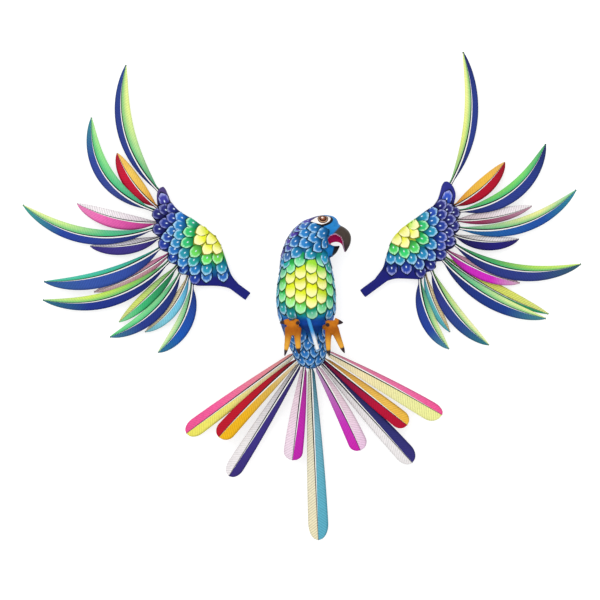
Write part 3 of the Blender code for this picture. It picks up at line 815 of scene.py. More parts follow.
# The palm and then the toes, each as a row of places with the thickness there.
LEFT_FOOT = (
    ((-14, -20, 45, 6.0), (-14, -30, 44.5, 5.8), (-14, -35, 44, 4.0)),
    ((-17.5, -26, 44.5, 4.6), (-19, -38, 43, 3.2), (-20.5, -47.5, 42, 2.3), (-22.3, -56, 40, 0.5)),
    ((-10, -26, 44.5, 4.6), (-9.5, -38, 43, 3.2), (-8.6, -48, 42, 2.4), (-8, -54, 40, 0.5)),
    ((-18, -22, 45, 3.8), (-22, -22, 46, 2.5), (-27.5, -23, 46, 0.5)),
    ((-11, -22, 45, 3.8), (-9.3, -22.5, 50, 2.2), (-9, -23, 53, 0.5)),
)
RIGHT_FOOT = (
    ((24, -20, 45, 6.0), (24.5, -29, 44.5, 5.8), (24.5, -33, 44, 4.0)),
    ((22, -26, 44.5, 4.4), (21, -38, 43, 3.0), (21.3, -49.5, 42, 2.2), (22.5, -56, 40, 0.5)),
    ((26.5, -27, 44.5, 4.6), (31, -38, 43, 3.2), (34.7, -47, 42, 2.3), (37.5, -53, 40, 0.5)),
    ((27, -21, 45, 3.8), (32, -22, 46, 2.5), (36, -22.5, 46, 0.5)),
    ((22, -23, 45, 3.8), (20.3, -24.5, 50, 2.2), (20, -25, 53, 0.5)),
)
FOOT_ORANGE = "c27010"
FOOT_SHADE_BROWN = "a85a06"
FOOT_LIGHT = "e0a238"
CLAW_DARK = "32242a"
CLAW_LENGTHS = (7.5, 7.5, 5.6, 3.2)
CLAW_BLEND = 0.8
PALM_BLEND = (-24, -29)
TOE_BLEND = (-30, -46)
TOE_FACETS = (20, 28)
FOOT_GRAIN = 0.55
FOOT_SANDINGS = 2
LIMB_STEP = 0.05
UPRIGHT = 1e-6


def along_limb(limb):
    """The skin of a palm or toe, round through its row of places."""
    rows = [(i, *knot) for i, knot in enumerate(limb)]
    last = len(limb) - 1

    def limb_point(share, turn, reach):
        at = share * last
        x, y, z, radius = between_rows(rows, at)
        ahead = Vector(between_rows(rows, min(at + LIMB_STEP, last))[:3])
        ahead -= Vector(between_rows(rows, max(at - LIMB_STEP, 0))[:3])
        aside = ahead.cross(Vector((0, 0, 1)))
        aside = aside.normalized() if aside.length > UPRIGHT else Vector((1, 0, 0))
        upward = aside.cross(ahead).normalized()
        return (Vector((x, y, z)) + (aside * math.cos(turn) + upward * math.sin(turn)) * radius * reach) * MM

    return limb_point


def make_foot(name, limbs):
    bm = bmesh.new()
    for limb in limbs:
        rounded_form(bm, along_limb(limb), TOE_FACETS)
    foot = carve(name, bm, FOOT_GRAIN, FOOT_SANDINGS)
    tips = [Vector(limb[-1][:3]) for limb in limbs[1:]]

    def foot_paint(co):
        place = co / MM
        # The palm is painted browner where the toes spring from it, as painted shade in that crease, and the
        # toes paler towards their ends.
        palm = pigment(FOOT_ORANGE).lerp(pigment(FOOT_SHADE_BROWN), ease(*PALM_BLEND, place.y))
        colour = palm.lerp(pigment(FOOT_LIGHT), ease(*TOE_BLEND, place.y))
        dark = max(ease(claw + CLAW_BLEND, claw - CLAW_BLEND, (place - tip).length)
                   for claw, tip in zip(CLAW_LENGTHS, tips))
        return colour.lerp(pigment(CLAW_DARK), dark)

    add_paint(foot, foot_paint)
    return foot


leg_coat = Finish("leg_orange", WOOD_ROUGHNESS)
leg_coat.feed(leg_coat.shader, {"Base Color": (*pigment(FOOT_ORANGE), 1.0)})
for side, limbs in (("left", LEFT_FOOT), ("right", RIGHT_FOOT)):
    show(make_foot(f"whittled_{side}_foot", limbs), wood_finish, "parrot_body", f"{side}_foot")
    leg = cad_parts[f"{side}_leg"]
    leg.data.materials.clear()
    leg.data.materials.append(leg_coat.material)

# A thin dowel stands slantwise between the feet. Its root is glued into the belly and painted with it, and
# its end is bare white with a small hole drilled up the middle, painted dark inside as painted shade.

PEG_ENDS = ((-2.5, -6, 42.6), (10.5, -49, 39.5))
PEG_RADIUS = 1.9
PEG_BORE = 0.8
PEG_BORE_DEPTH = 4.0
PEG_BLUE = "3c98dc"
PEG_PALE = "e9ecef"
BORE_SHADE = "2a2a30"
PEG_BLEND = (25, 36)
PEG_FACETS = 28
PEG_RINGS = 24
LONG_EDGE = 9
BORE_RIM = 0.1

peg_start, peg_end = Vector(PEG_ENDS[0]), Vector(PEG_ENDS[1])
peg_run = peg_end - peg_start
peg_mesh = bmesh.new()
bmesh.ops.create_cone(peg_mesh, cap_ends=True, segments=PEG_FACETS, radius1=PEG_RADIUS, radius2=PEG_RADIUS,
                      depth=peg_run.length)
far_cap = max(peg_mesh.faces, key=lambda face: face.calc_center_median().z)
bmesh.ops.inset_region(peg_mesh, faces=[far_cap], thickness=PEG_RADIUS - PEG_BORE)
push(peg_mesh, far_cap, -PEG_BORE_DEPTH)
bmesh.ops.delete(peg_mesh, geom=[far_cap], context="FACES_ONLY")
side_edges = [edge for edge in peg_mesh.edges if abs(edge.verts[0].co.z - edge.verts[1].co.z) > LONG_EDGE]
bmesh.ops.subdivide_edges(peg_mesh, edges=side_edges, cuts=PEG_RINGS)
peg_turn = peg_run.to_track_quat("Z", "Y").to_matrix()
for vert in peg_mesh.verts:
    vert.co = ((peg_start + peg_end) / 2 + peg_turn @ vert.co) * MM
bmesh.ops.recalc_face_normals(peg_mesh, faces=peg_mesh.faces)
belly_dowel = add_object("belly_dowel", peg_mesh)


def peg_paint(co):
    from_root = co / MM - peg_start
    along = from_root.dot(peg_run.normalized())
    off_axis = (from_root - peg_run.normalized() * along).length
    # The drilled hole and a thin ring round its mouth are painted dark, as painted shade inside the hole.
    if off_axis < PEG_BORE + BORE_RIM:
        return pigment(BORE_SHADE)
    return pigment(PEG_BLUE).lerp(pigment(PEG_PALE), ease(*PEG_BLEND, along))


add_paint(belly_dowel, peg_paint)
show(belly_dowel, wood_finish, "parrot_body", "belly_peg")

# Each wing is a shallow domed blank sawn from a board, with a scalloped outer edge, a finger at the top and
# a square tenon that slides into the body's socket. It is navy below and carved with rows of scales.

WING_CROWN = 15.0
WING_DOME = (88.0, 52.0)
TENON_SIZE = (36.0, 9.0, 8.0)
TENON_HEIGHT = 7.0

# Each wing's edges, its dome and tenon, how its paints lie, and its scales: middle and heading.
LEFT_WING = {
    "leading_edge": ((-143.8, 113.8), (-141.6, 111), (-139.2, 105.5), (-136.3, 98.5), (-132.2, 92.7),
                     (-125.6, 87.7), (-112, 79.3), (-97.4, 68.8), (-89.1, 60.3), (-84.1, 49.2), (-78.3, 32),
                     (-75.4, 24.8), (-72, 20), (-69, 17.0)),
    "trailing_edge": ((-77, 11.3), (-82.4, 12.9), (-90.7, 14.0), (-107, 14.1)),
    "notches": ((-107, 14.1), (-117.5, 25.5), (-128, 35.5), (-137, 48), (-146.5, 63), (-149.5, 78),
                (-149, 92)),
    "bulges": (4.0, 5.0, 5.9, 6.9, 6.5, 5.8),
    "fingertip": ((-150.4, 99.5), (-150.4, 105), (-149.4, 110), (-146.5, 112.8)),
    "dome_centre": (-119, 61),
    "dome_turn": -58.0,
    "tenon_end": (-59, 3.5),
    "tenon_turn": -36.5,
    "side": 1,
    "sun": (-95, 60),
    "spread": 0.97,
    "lilac": 0.58,
    "navy_below": 22,
    "scales": (
        (-148.2, 86, 165), (-147.4, 71, 180), (-142, 56.4, 195), (-133.7, 43.3, 215), (-123.7, 32.2, 230),
        (-111.8, 22.6, 245), (-141, 90, 150), (-140.3, 76.7, 172), (-138.1, 63.3, 190), (-132, 51, 208),
        (-123, 39.4, 225), (-111.4, 31.7, 240), (-133, 91, 140), (-133.3, 81.7, 160), (-132.9, 69, 182),
        (-129.2, 57.8, 200), (-122, 47.2, 217), (-113, 40, 235), (-100, 32, 255), (-124.8, 82.2, 150),
        (-126.4, 74.4, 170), (-125.9, 65.6, 188), (-119.2, 57.8, 205), (-110.9, 48.9, 225),
        (-99.8, 42.2, 245),
        (-85.3, 33.3, 265), (-113.7, 77.2, 160), (-116.4, 68.3, 185), (-106.4, 61.1, 215), (-98.7, 52.2, 235),
        (-89.2, 43.3, 258), (-103.7, 70, 200), (-94.2, 62.2, 225), (-88.7, 53.3, 250), (-100.3, 25, 265),
        (-84.2, 25.6, 275),
    ),
    "finger_scale": (-142.4, 98.6, 112),
    "finger_paints": ("33309a", "4a3c76"),
}
RIGHT_WING = {
    "leading_edge": ((137.4, 118.6), (135.1, 115), (133.6, 109.5), (131.5, 102.3), (128.7, 97.3),
                     (124.6, 92.8), (118.5, 88.5), (98.3, 74.4), (91, 67.8), (84.5, 59), (78.7, 41.2),
                     (76.2, 32.8), (72, 26.6), (68.6, 22.4)),
    "trailing_edge": ((80, 19), (87.9, 21.2), (95, 21.4), (113, 20.5)),
    "notches": ((113, 20.5), (117.5, 28), (128, 39), (138.5, 50), (146, 65.5), (149, 79.5), (146.5, 94)),
    "bulges": (1.5, 4.4, 5.6, 6.8, 5.5, 5.7),
    "fingertip": ((149, 104), (148.6, 108.1), (146.6, 113.2), (143.5, 117), (140.5, 119)),
    "dome_centre": (115, 67),
    "dome_turn": 58.0,
    "tenon_end": (55.5, 6.3),
    "tenon_turn": 216.5,
    "side": -1,
    "sun": (96, 66),
    "spread": 1.15,
    "lilac": 0.85,
    "navy_below": 28,
    "scales": (
        (146.3, 87.6, 15), (145.8, 74.2, 0), (141.3, 59.2, -15), (133, 46.4, -35), (123.6, 35.9, -50),
        (113.6, 28.7, -65), (139.7, 90.3, 30), (141.3, 80.3, 8), (139.7, 67.6, -10), (131.9, 55.3, -28),
        (122.4, 45.3, -45), (111.3, 37, -60), (133, 94.2, 40), (133, 84.8, 20), (133, 74.2, -2),
        (133, 63.1, -18), (123, 56.4, -35), (114.7, 47, -52), (104.1, 42.6, -70), (123.6, 87, 30),
        (124.7, 79.2, 10), (123, 68.7, -10), (114.7, 61.4, -30), (106.3, 53.1, -50), (96.9, 48.7, -70),
        (92.4, 42, -80), (114.7, 83.7, 20), (114.1, 74.2, -5), (105.2, 67.6, -35), (96.3, 58.7, -55),
        (86.3, 52.6, -80), (83.6, 43.1, -88), (104.1, 76.4, -20), (95.8, 69.8, -45), (88, 62.6, -65),
        (99.1, 33.1, -82), (84.7, 32, -92),
    ),
    "finger_scale": (139.6, 101, 70),
    "finger_paints": ("2448b0", "262a82"),
}
WING_PAINTS = ((0, "ece82c"), (13.5, "e4ea30"), (17.8, "8ce044"), (21.0, "28cc5c"), (25.5, "10ae74"),
               (29.5, "0892a4"), (35, "0674be"), (42, "06389c"), (51, "081474"), (64, "140e64"))
WING_NAVY = "141870"
WING_SCALE = (6.2, 7.4, 0.4)
FINGER_SCALE = (5.8, 9.2, 0.3)

# How the blank's edge, dome and crest are shaped.
EDGE_STEPS = 3
LOBE_STEPS = 10
LOBE_FULLNESS = 0.75
BOARD_SPARE = 4.0
DOME_FACETS = (96, 64)
WING_GRAIN = 0.8
WING_SANDINGS = 3
SHOULDER = 0.8
ROUNDED_ABOVE = 3.0
ROUNDINGS = 18

# Where the blank's paints meet, how a scale's paint is told, and the strengths of dots and edges.
SUN_SQUASH = 1.12
NAVY_BLEND = (3, -1)
BACK_BLEND = (1.5, 0.5)
FINGER_BLEND = (96, 101)
FINGER_RISE = (2.0, 4.0)
EDGE_LILAC = "a4aae0"
WING_YELLOW_FROM = 0.35
WING_GREEN_FROM = 1.3
WING_BLUE_FROM = 0.04
WING_DOT = 0.95
WING_EDGE = 0.85
FINGER_EDGE = 0.9


def smooth_line(points):
    """A smooth curve through a few points of an edge."""
    rows = [(i, *point) for i, point in enumerate(points)]
    steps = EDGE_STEPS * (len(rows) - 1)
    return [Vector(between_rows(rows, i / EDGE_STEPS)) for i in range(steps + 1)]


def wing_outline(wing):
    """The blank's edge: lobes between the notches, the finger, then down the leading edge to the tenon."""
    edge = smooth_line(wing["trailing_edge"])[:-1]
    for start, end, bulge in zip(wing["notches"], wing["notches"][1:], wing["bulges"]):
        start, run = Vector(start), Vector(end) - Vector(start)
        outward = Vector((-run.y, run.x)).normalized() * wing["side"]
        for step in range(LOBE_STEPS):
            share = step / LOBE_STEPS
            edge.append(start + run * share + outward * bulge * math.sin(math.pi * share) ** LOBE_FULLNESS)
    edge.append(Vector(wing["notches"][-1]))
    edge += [Vector(point) for point in wing["fingertip"]]
    edge += smooth_line(wing["leading_edge"])
    return [tuple(point) for point in edge]


def wing_blank(name, wing):
    """The board under a low dome, with its tenon, and with the crest rounded over as far as the tenon."""
    board = add_object("board", slab(wing_outline(wing), 0.0, WING_CROWN + BOARD_SPARE))
    dome = bmesh.new()
    ball = bmesh.ops.create_uvsphere(dome, u_segments=DOME_FACETS[0], v_segments=DOME_FACETS[1], radius=1.0)
    ahead = level(wing["dome_turn"])
    aside = Vector((-ahead.y, ahead.x, 0))
    for vert in ball["verts"]:
        x, y, z = vert.co
        place = Vector((*wing["dome_centre"], 0)) + ahead * x * WING_DOME[0] + aside * y * WING_DOME[1]
        vert.co = (place + Vector((0, 0, z * WING_CROWN))) * MM
    trim(board, add_object("dome", dome), "INTERSECT")
    whole = bmesh.new()
    whole.from_mesh(board.data)
    bar(whole, (*wing["tenon_end"], TENON_HEIGHT), wing["tenon_turn"], TENON_SIZE)
    bpy.data.objects.remove(board)
    blank = carve(name, whole, WING_GRAIN, WING_SANDINGS)
    rounded = bmesh.new()
    rounded.from_mesh(blank.data)
    to_body = level(wing["tenon_turn"])
    shoulder = Vector((*wing["tenon_end"], 0)) - to_body * TENON_SIZE[0] * SHOULDER
    crest = [vert for vert in rounded.verts if vert.co.z > ROUNDED_ABOVE * MM
             and (vert.co / MM - shoulder).dot(to_body) < 0]
    sand(rounded, crest, ROUNDINGS)
    rounded.to_mesh(blank.data)
    rounded.free()
    return blank


def wing_colour(wing, x, y):
    """The wing's paint, which runs outwards from a yellow patch near the shoulder."""
    from_sun = math.hypot(x - wing["sun"][0], (y - wing["sun"][1]) * SUN_SQUASH)
    return ramp(WING_PAINTS, from_sun * wing["spread"])


def wing_scale_look(wing, x, y):
    """The paints of one wing scale: its own with its dot's strength, and its edge's with the edge's."""
    own = wing_colour(wing, x, y)
    if own.x > WING_YELLOW_FROM:
        return (*own, 0.0), (*pigment(EDGE_CREAM), WING_EDGE)
    if own.y > own.z * WING_GREEN_FROM:
        return (*own, WING_DOT), (*pigment(EDGE_MINT), WING_EDGE)
    if own.y > WING_BLUE_FROM:
        return (*own, WING_DOT), (*pigment(EDGE_PALE), WING_EDGE)
    return (*own, WING_DOT), (*pigment(EDGE_LILAC), wing["lilac"])


def make_wing(name, wing, rider, node):
    blank = wing_blank(f"{name}_blank", wing)
    finger, finger_gap = (pigment(code) for code in wing["finger_paints"])

    def blank_paint(co):
        x, y, z = co / MM
        colour = wing_colour(wing, x, y) * GAP_SHADE
        colour = colour.lerp(finger_gap, ease(*FINGER_BLEND, y) * ease(*FINGER_RISE, z))
        low = ease(wing["navy_below"] + NAVY_BLEND[0], wing["navy_below"] + NAVY_BLEND[1], y)
        return colour.lerp(pigment(WING_NAVY), max(low, ease(*BACK_BLEND, z)))

    add_paint(blank, blank_paint)
    skin = BVHTree.FromObject(blank, bpy.context.evaluated_depsgraph_get())
    scales = start_scales()
    for x, y, heading in wing["scales"]:
        spot, outward = meet(skin, x, y, DOWN)
        if spot:
            lay_scale(scales, skin, spot, outward, heading, WING_SCALE, wing_scale_look(wing, x, y))
    x, y, heading = wing["finger_scale"]
    spot, outward = meet(skin, x, y, DOWN)
    finger_look = (*finger, WING_DOT), (*pigment(EDGE_LILAC), FINGER_EDGE)
    lay_scale(scales, skin, spot, outward, heading, FINGER_SCALE, finger_look)
    show(blank, wood_finish, rider, node)
    finish_scales(f"{name}_scales", scales, rider)


make_wing("left_wing", LEFT_WING, "left_wing_group", "left_wing")
make_wing("right_wing", RIGHT_WING, "right_wing_group", "right_wing")

# The long feathers are thin slips of wood, each with a bare quill glued into a slot in the wing or rump.
# Each half has its own paint with fine barb strokes, and a white and a black line run up the quill.

# The slips: what is glued in, what is bare, the stem at both ends, thicknesses, and how the rows are stacked.
TANG = 4.0
BARE_QUILL = 3.0
STEM = (1.8, 0.25)
QUILL_THICK = 2.2
EDGE_THICK = 1.4
ROW_PITCH = 2.8
TIP_CURL = (0.0, 1.5, 3.0)
BACK, MIDDLE, FRONT = 0, 1, 2
WING_FEATHER_HEIGHT = 2.4
TAIL_FEATHER_HEIGHT = 8.2
LEAF_FULLNESS = 0.72
PADDLE_END = 0.9
PADDLE_ROUND = 0.1
PADDLE_WAIST = 0.72
PADDLE_FLARE = 1.9
BLADE_FACETS = (48, 8)
TIPWARD_FACETS = 1.25

# The quill's lines: half widths, how they swell and taper, and where the white one starts to give out.
BLUE_QUILL = 1.25
LEAF_QUILL = 0.95
PADDLE_QUILL = 1.1
QUILL_FACETS = (48, 4)
QUILL_START = 0.8
QUILL_SWELL = 0.3
SWELL_BLEND = (0.0, 0.2)
LEAF_NARROWING = 0.98
PADDLE_NARROWING = 0.75
NARROWING_POWER = 1.5
WHITE_REACH = 0.6
WHITE_LEFT = 0.15
QUILL_PROUD = 0.3
QUILL_ROUND = 0.6
LINE_WHITE = "f2f2ee"
LINE_BLACK = "10121c"

# The halves: green beside the quill of the front feathers, a shaded edge, and barb strokes to the centimetre.
QUILL_GREEN = "1cae70"
GREEN_STRENGTH = 0.8
GREEN_BLEND = (0.75, 0.05)
HALF_EDGE_SHADE = 0.72
HALF_EDGE_BLEND = (0.7, 1.0)
BARB_SLANT = -0.7
BARBS_TO_CM = 3.7
BARB_LINE = (0.45, 0.95)
BARB_WAVER = 0.12
WAVER_SCALE = 6.0
BARB_STROKES = (500.0, 0.07)
CM = 10.0

# Each feather: root, tip, bow, widths of the leading and trailing halves, row, then each half's paints from
# the root to the tip and the strength of its barb strokes.
LEFT_FEATHERS = (
    ((-149, 110), (-181, 235), 18.0, 10.0, 7.0, FRONT, ("24846a", "b0de94", "e4f090", "e6f096"), 0.15,
     ("161f54", "283a86", "283a86", "26468a"), 0.2),
    ((-157, 91), (-215.5, 182.5), 20.0, 9.0, 8.0, FRONT, ("2a8470", "68c48c", "8ee088", "bae894"), 0.15,
     ("1a2456", "34448c", "2c4296", "388890"), 0.2),
    ((-150, 93), (-190, 147), 4.5, 8.2, 9.6, MIDDLE, ("d8862c", "e8ba50", "f2c85a", "ecb65a"), 0.15,
     ("720c20", "b81030", "c40834", "a41c2e"), 0.15),
    ((-150, 77.5), (-230, 96.5), 5.4, 7.0, 10.2, MIDDLE, ("b8acb4", "e2d8de", "f0eaec", "e8e0e4"), 0.3,
     ("a42c74", "d04c9c", "e868b0", "e080b4"), 0.15),
    ((-155, 71), (-284, 95), 18.5, 7.8, 8.2, FRONT, ("3c8c80", "58b886", "c4e88e", "eef0a4"), 0.15,
     ("161f54", "283a8a", "22409a", "42a48c"), 0.2),
    ((-147, 63), (-217, 54), 4.0, 6.0, 9.0, MIDDLE, ("8a868c", "b8b4bc", "d0ccd6", "ccc8ce"), 0.45,
     ("241c60", "3a2f80", "3a2f80", "352a78"), 0.2),
    ((-147, 52), (-263, 18.5), 10.0, 4.8, 12.0, FRONT, ("287470", "3aa896", "46bca4", "5cbe9e"), 0.15,
     ("1a2660", "2c489c", "3252a2", "2c5a8e"), 0.2),
    ((-137, 47), (-213, 8), 4.0, 6.0, 6.0, MIDDLE, ("b02a80", "cc98a8", "ccb0b0", "b49ca4"), 0.3,
     ("a02878", "c08c98", "c8a4a8", "b89ca4"), 0.25),
    ((-140, 37), (-264, 0), 17.0, 7.0, 9.0, FRONT, ("2c7c5c", "94cc56", "d0ea62", "aad48e"), 0.15,
     ("121a4c", "1c2e7e", "1a3088", "2c6c7c"), 0.2),
    ((-131, 33), (-188, -22), 1.5, 6.2, 8.0, MIDDLE, ("4c8c48", "9cc474", "ccdc68", "c0c880"), 0.25,
     ("165038", "2a8e5a", "3cba76", "82d496"), 0.15),
    ((-127, 27), (-197, -37), 10.0, 6.5, 9.2, FRONT, ("488e68", "7ac486", "7cd68e", "60c27a"), 0.1,
     ("181e4e", "1e327a", "223688", "3c7890"), 0.2),
    ((-119, 24), (-162, -32), 6.5, 5.5, 7.6, MIDDLE, ("bab084", "dccea8", "d6caa4", "c4bc98"), 0.3,
     ("2878a0", "6cc0e2", "7cc6da", "6ca6b0"), 0.2),
    ((-115, 15), (-149, -52.5), 8.0, 6.0, 10.4, FRONT, ("4c8c78", "98c690", "d0e6a8", "c8e2a6"), 0.15,
     ("1a2462", "1c449a", "1054b0", "2c7088"), 0.2),
)
RIGHT_FEATHERS = (
    ((144, 117), (156, 248), 14.0, 7.0, 6.8, FRONT, ("6ab07c", "e0e87e", "f0f296", "ecf090"), 0.1,
     ("141f52", "283a88", "283a88", "1e2862"), 0.2),
    ((147, 94), (198, 138), 4.5, 8.0, 9.2, MIDDLE, ("d47820", "e6b03e", "ecb840", "dca85a"), 0.15,
     ("600a1e", "b00828", "b00828", "900e24"), 0.15),
    ((153, 89), (238.5, 156), 16.5, 7.2, 10.0, FRONT, ("2c8c64", "70c462", "7cd66c", "58a070"), 0.1,
     ("161f52", "283a88", "283a88", "1e2c62"), 0.2),
    ((149, 80), (225, 94), 4.5, 8.5, 5.5, MIDDLE, ("b4a6ac", "dacace", "ece4e8", "e6e0e2"), 0.3,
     ("842050", "923458", "a06682", "be92a4"), 0.2),
    ((152, 72), (269, 110), 16.0, 7.0, 8.5, FRONT, ("6ca084", "a0c68e", "eeee98", "86c8a2"), 0.1,
     ("18587c", "1a58a2", "1c4ca0", "308c98"), 0.2),
    ((147, 65), (212, 61), 4.5, 5.4, 8.8, MIDDLE, ("949090", "d0ccca", "ece6e8", "ccc6ca"), 0.4,
     ("140f40", "1a145e", "1e1874", "241c5c"), 0.2),
    ((148, 55.5), (274, 36), 16.0, 6.2, 10.2, FRONT, ("2c6c50", "52a45c", "b0de5c", "daee78"), 0.15,
     ("161c4e", "263480", "2a3a82", "305c68"), 0.2),
    ((140, 49.5), (213, 17), 4.5, 6.0, 8.5, MIDDLE, ("9c3078", "c89ca8", "d0b0b8", "c4a6ae"), 0.3,
     ("80206e", "c824b8", "d028c0", "c8a4b8"), 0.15),
    ((138, 43), (242, -14), 5.5, 8.0, 5.0, BACK, ("58984c", "d6de68", "e0e46a", "d8e088"), 0.3,
     ("105a38", "2a9a60", "30a068", "3aa070"), 0.15),
    ((136, 40), (239, -18.5), 9.2, 6.5, 10.0, FRONT, ("387e68", "80c48e", "d8ec98", "ecf09c"), 0.15,
     ("121c4a", "1a307e", "183a88", "44888c"), 0.2),
    ((125, 29), (182, -45), 7.0, 6.4, 10.0, FRONT, ("66985a", "bed682", "e8eca8", "ecf0ac"), 0.1,
     ("181e52", "2a3686", "26448a", "2c787c"), 0.2),
    ((118, 26), (143, -32), 3.0, 4.5, 6.0, MIDDLE, ("b8a878", "e4d0a4", "dcc898", "b8a878"), 0.3,
     ("287890", "58b0b8", "58b0b8", "4898a8"), 0.2),
    ((113, 20), (142, -49), 6.5, 6.0, 9.5, FRONT, ("286c5c", "76b284", "d4e29a", "dae8a8"), 0.15,
     ("1a245c", "223a8e", "1e3e98", "488892"), 0.2),
)
TAIL_FEATHERS = (
    ((-14, -55), (-120.5, -133.5), 0.0, 8.6, 9.4, MIDDLE, ("d09088", "e07c90", "ee5c98", "e44c8c"), 0.15,
     ("dedac4", "e8dea0", "eee66e", "e8e05e"), 0.18),
    ((-11, -61), (-88, -137), -2.0, 9.0, 10.6, FRONT, ("600816", "a8041e", "b80422", "b40422"), 0.15,
     ("d6c6a6", "d4ae4e", "e8ae18", "ecb414"), 0.2),
    ((-8, -65), (-78, -176), 0.0, 8.5, 9.0, MIDDLE, ("a09c9e", "cac6ca", "e4e0e0", "e8e2e4"), 0.2,
     ("282056", "362a74", "3a2e80", "362a74"), 0.15),
    ((-3, -68), (-14.5, -160), 0.0, 10.0, 9.4, FRONT, ("baa4b0", "dec6d2", "ead2e0", "e4d0de"), 0.24,
     ("802a6c", "ac2898", "bc1eaa", "b81ea6"), 0.15),
    ((4, -68), (11.5, -240), 0.0, 9.6, 10.6, MIDDLE, ("c8c8b4", "dedac0", "e6dec0", "e8deb8"), 0.34,
     ("305e6c", "6ea6ba", "5cacc2", "58aac2"), 0.3),
    ((10, -67), (53.6, -150), 2.0, 9.2, 9.6, FRONT, ("a68eb0", "b064ae", "c02cb2", "c41ea4"), 0.15,
     ("b498a8", "d6bec8", "e6cada", "e4bedc"), 0.22),
    ((15, -63), (105.5, -162.8), 0.0, 9.0, 10.6, BACK, ("cecccc", "e2dede", "eae6e6", "e4e0e0"), 0.2,
     ("221d4c", "2a2860", "2a2c6e", "322c74"), 0.15),
    ((18, -60), (100.3, -125), 0.0, 9.2, 9.2, MIDDLE, ("5a0c2e", "8c083a", "b40432", "b0022c"), 0.15,
     ("a0723c", "d8a64a", "e8b850", "eab63c"), 0.2),
    ((21, -52.5), (135, -114.6), 1.0, 12.4, 6.8, FRONT, ("e2d6b4", "eedeac", "e8e6a0", "eaec94"), 0.24,
     ("c48696", "d27294", "e6689e", "ec4e8e"), 0.15),
)


def leaf(share):
    """The width of a pointed slip, as a share of its widest."""
    return (4 * share * (1 - share)) ** LEAF_FULLNESS


def paddle(share):
    """The width of a straight slip with a round end, as a share of its widest."""
    past = max(share - PADDLE_END, 0.0) / PADDLE_ROUND
    return (1 - PADDLE_WAIST * (1 - share) ** PADDLE_FLARE) * math.sqrt(max(0.0, 1 - past**2))


def barb_paint():
    """Paint for the slips, with barb strokes slanting off the quill by the slip's own map in centimetres."""
    coat = Finish("barb_paint", WOOD_ROUGHNESS)
    colour, barbs = coat.painted("paint")
    whole, along, across = coat.plan("slip")
    waver = coat.add("ShaderNodeTexNoise", {"Vector": whole, "Scale": WAVER_SCALE}).outputs["Fac"]
    slant = coat.maths("MULTIPLY_ADD", coat.maths("ABSOLUTE", across), BARB_SLANT, along)
    slant = coat.maths("MULTIPLY_ADD", waver, BARB_WAVER, slant)
    wave = coat.maths("SINE", coat.maths("MULTIPLY", slant, 2 * math.pi * BARBS_TO_CM))
    stroke = coat.maths("MULTIPLY", coat.gauge(wave, *BARB_LINE), barbs)
    coat.brush_on(coat.shaded(colour, coat.maths("SUBTRACT", 1.0, stroke)), *BARB_STROKES)
    return coat.material


barb_finish = barb_paint()


def even_stops(codes):
    return [(i / (len(codes) - 1), code) for i, code in enumerate(codes)]


class Slip:
    """The line, widths and paints of one feather."""

    def __init__(self, row, side, base, shape):
        root, tip, self.bow, self.lead, self.trail, self.layer, *paints = row
        self.root, self.chord = Vector(root), Vector(tip) - Vector(root)
        self.length = self.chord.length
        self.across = Vector((-self.chord.y, self.chord.x)).normalized() * side
        self.height = base + self.layer * ROW_PITCH
        self.shape = shape
        self.lead_paints, self.lead_barbs = even_stops(paints[0]), paints[1]
        self.trail_paints, self.trail_barbs = even_stops(paints[2]), paints[3]
        self.blue = self.layer == FRONT and shape is leaf
        self.quill = BLUE_QUILL if self.blue else LEAF_QUILL if shape is leaf else PADDLE_QUILL
        self.narrowing = LEAF_NARROWING if shape is leaf else PADDLE_NARROWING

    def along(self, share):
        """A place along the slip, from 0 at the root to 1 at the tip, for a share of its facets."""
        start = -TANG / self.length
        return start + (1 - start) * (1 - (1 - share) ** TIPWARD_FACETS)

    def line(self, t):
        return self.root + self.chord * t + self.across * self.bow * 4 * t * (1 - t)

    def aside(self, t):
        run = self.chord + self.across * self.bow * 4 * (1 - 2 * t)
        aside = Vector((-run.y, run.x)).normalized()
        return aside if aside.dot(self.across) > 0 else -aside

    def half_width(self, t, half):
        bare = BARE_QUILL / self.length
        share = min(max((t - bare) / (1 - bare), 0.0), 1.0)
        stem = STEM[0] + (STEM[1] - STEM[0]) * min(max(t, 0.0), 1.0)
        grown = min(max(t / bare, 0.0), 1.0)
        return math.hypot(stem, half * self.shape(share) * grown)

    def place(self, t, offset, lift):
        flat = self.line(t) + self.aside(t) * offset
        curl = TIP_CURL[self.layer] * max(t, 0.0) ** 2
        return Vector((*flat, self.height + curl + lift - EDGE_THICK / 2)) * MM

    def paint(self, t, s, trailing):
        """A half's paint at a place along it and across it, and the strength of its barb strokes."""
        if trailing:
            shade = 1 - (1 - HALF_EDGE_SHADE) * ease(*HALF_EDGE_BLEND, abs(s))
            return (*(ramp(self.trail_paints, t) * shade), self.trail_barbs)
        colour = ramp(self.lead_paints, t)
        if self.blue:
            colour = colour.lerp(pigment(QUILL_GREEN), GREEN_STRENGTH * ease(*GREEN_BLEND, abs(s)))
        return (*colour, self.lead_barbs)


def make_blade(bm, slip):
    """The slip itself: a sheet with a low ridge along the quill."""
    plan, paint = bm.loops.layers.uv["slip"], bm.loops.layers.float_color["paint"]
    sheet = bmesh.ops.create_grid(bm, x_segments=BLADE_FACETS[0], y_segments=BLADE_FACETS[1], size=1.0)
    spots = {}
    for vert in sheet["verts"]:
        t, s = slip.along((vert.co.x + 1) / 2), vert.co.y
        offset = s * slip.half_width(t, slip.trail if s > 0 else slip.lead)
        vert.co = slip.place(t, offset, EDGE_THICK + (QUILL_THICK - EDGE_THICK) * (1 - abs(s)))
        spots[vert] = (t, offset, s)
    for face in faces_of(sheet["verts"]):
        trailing = sum(spots[vert][1] for vert in face.verts) > 0
        for loop in face.loops:
            t, offset, s = spots[loop.vert]
            loop[plan].uv = (t * slip.length / CM, offset / CM)
            loop[paint] = slip.paint(t, s, trailing)


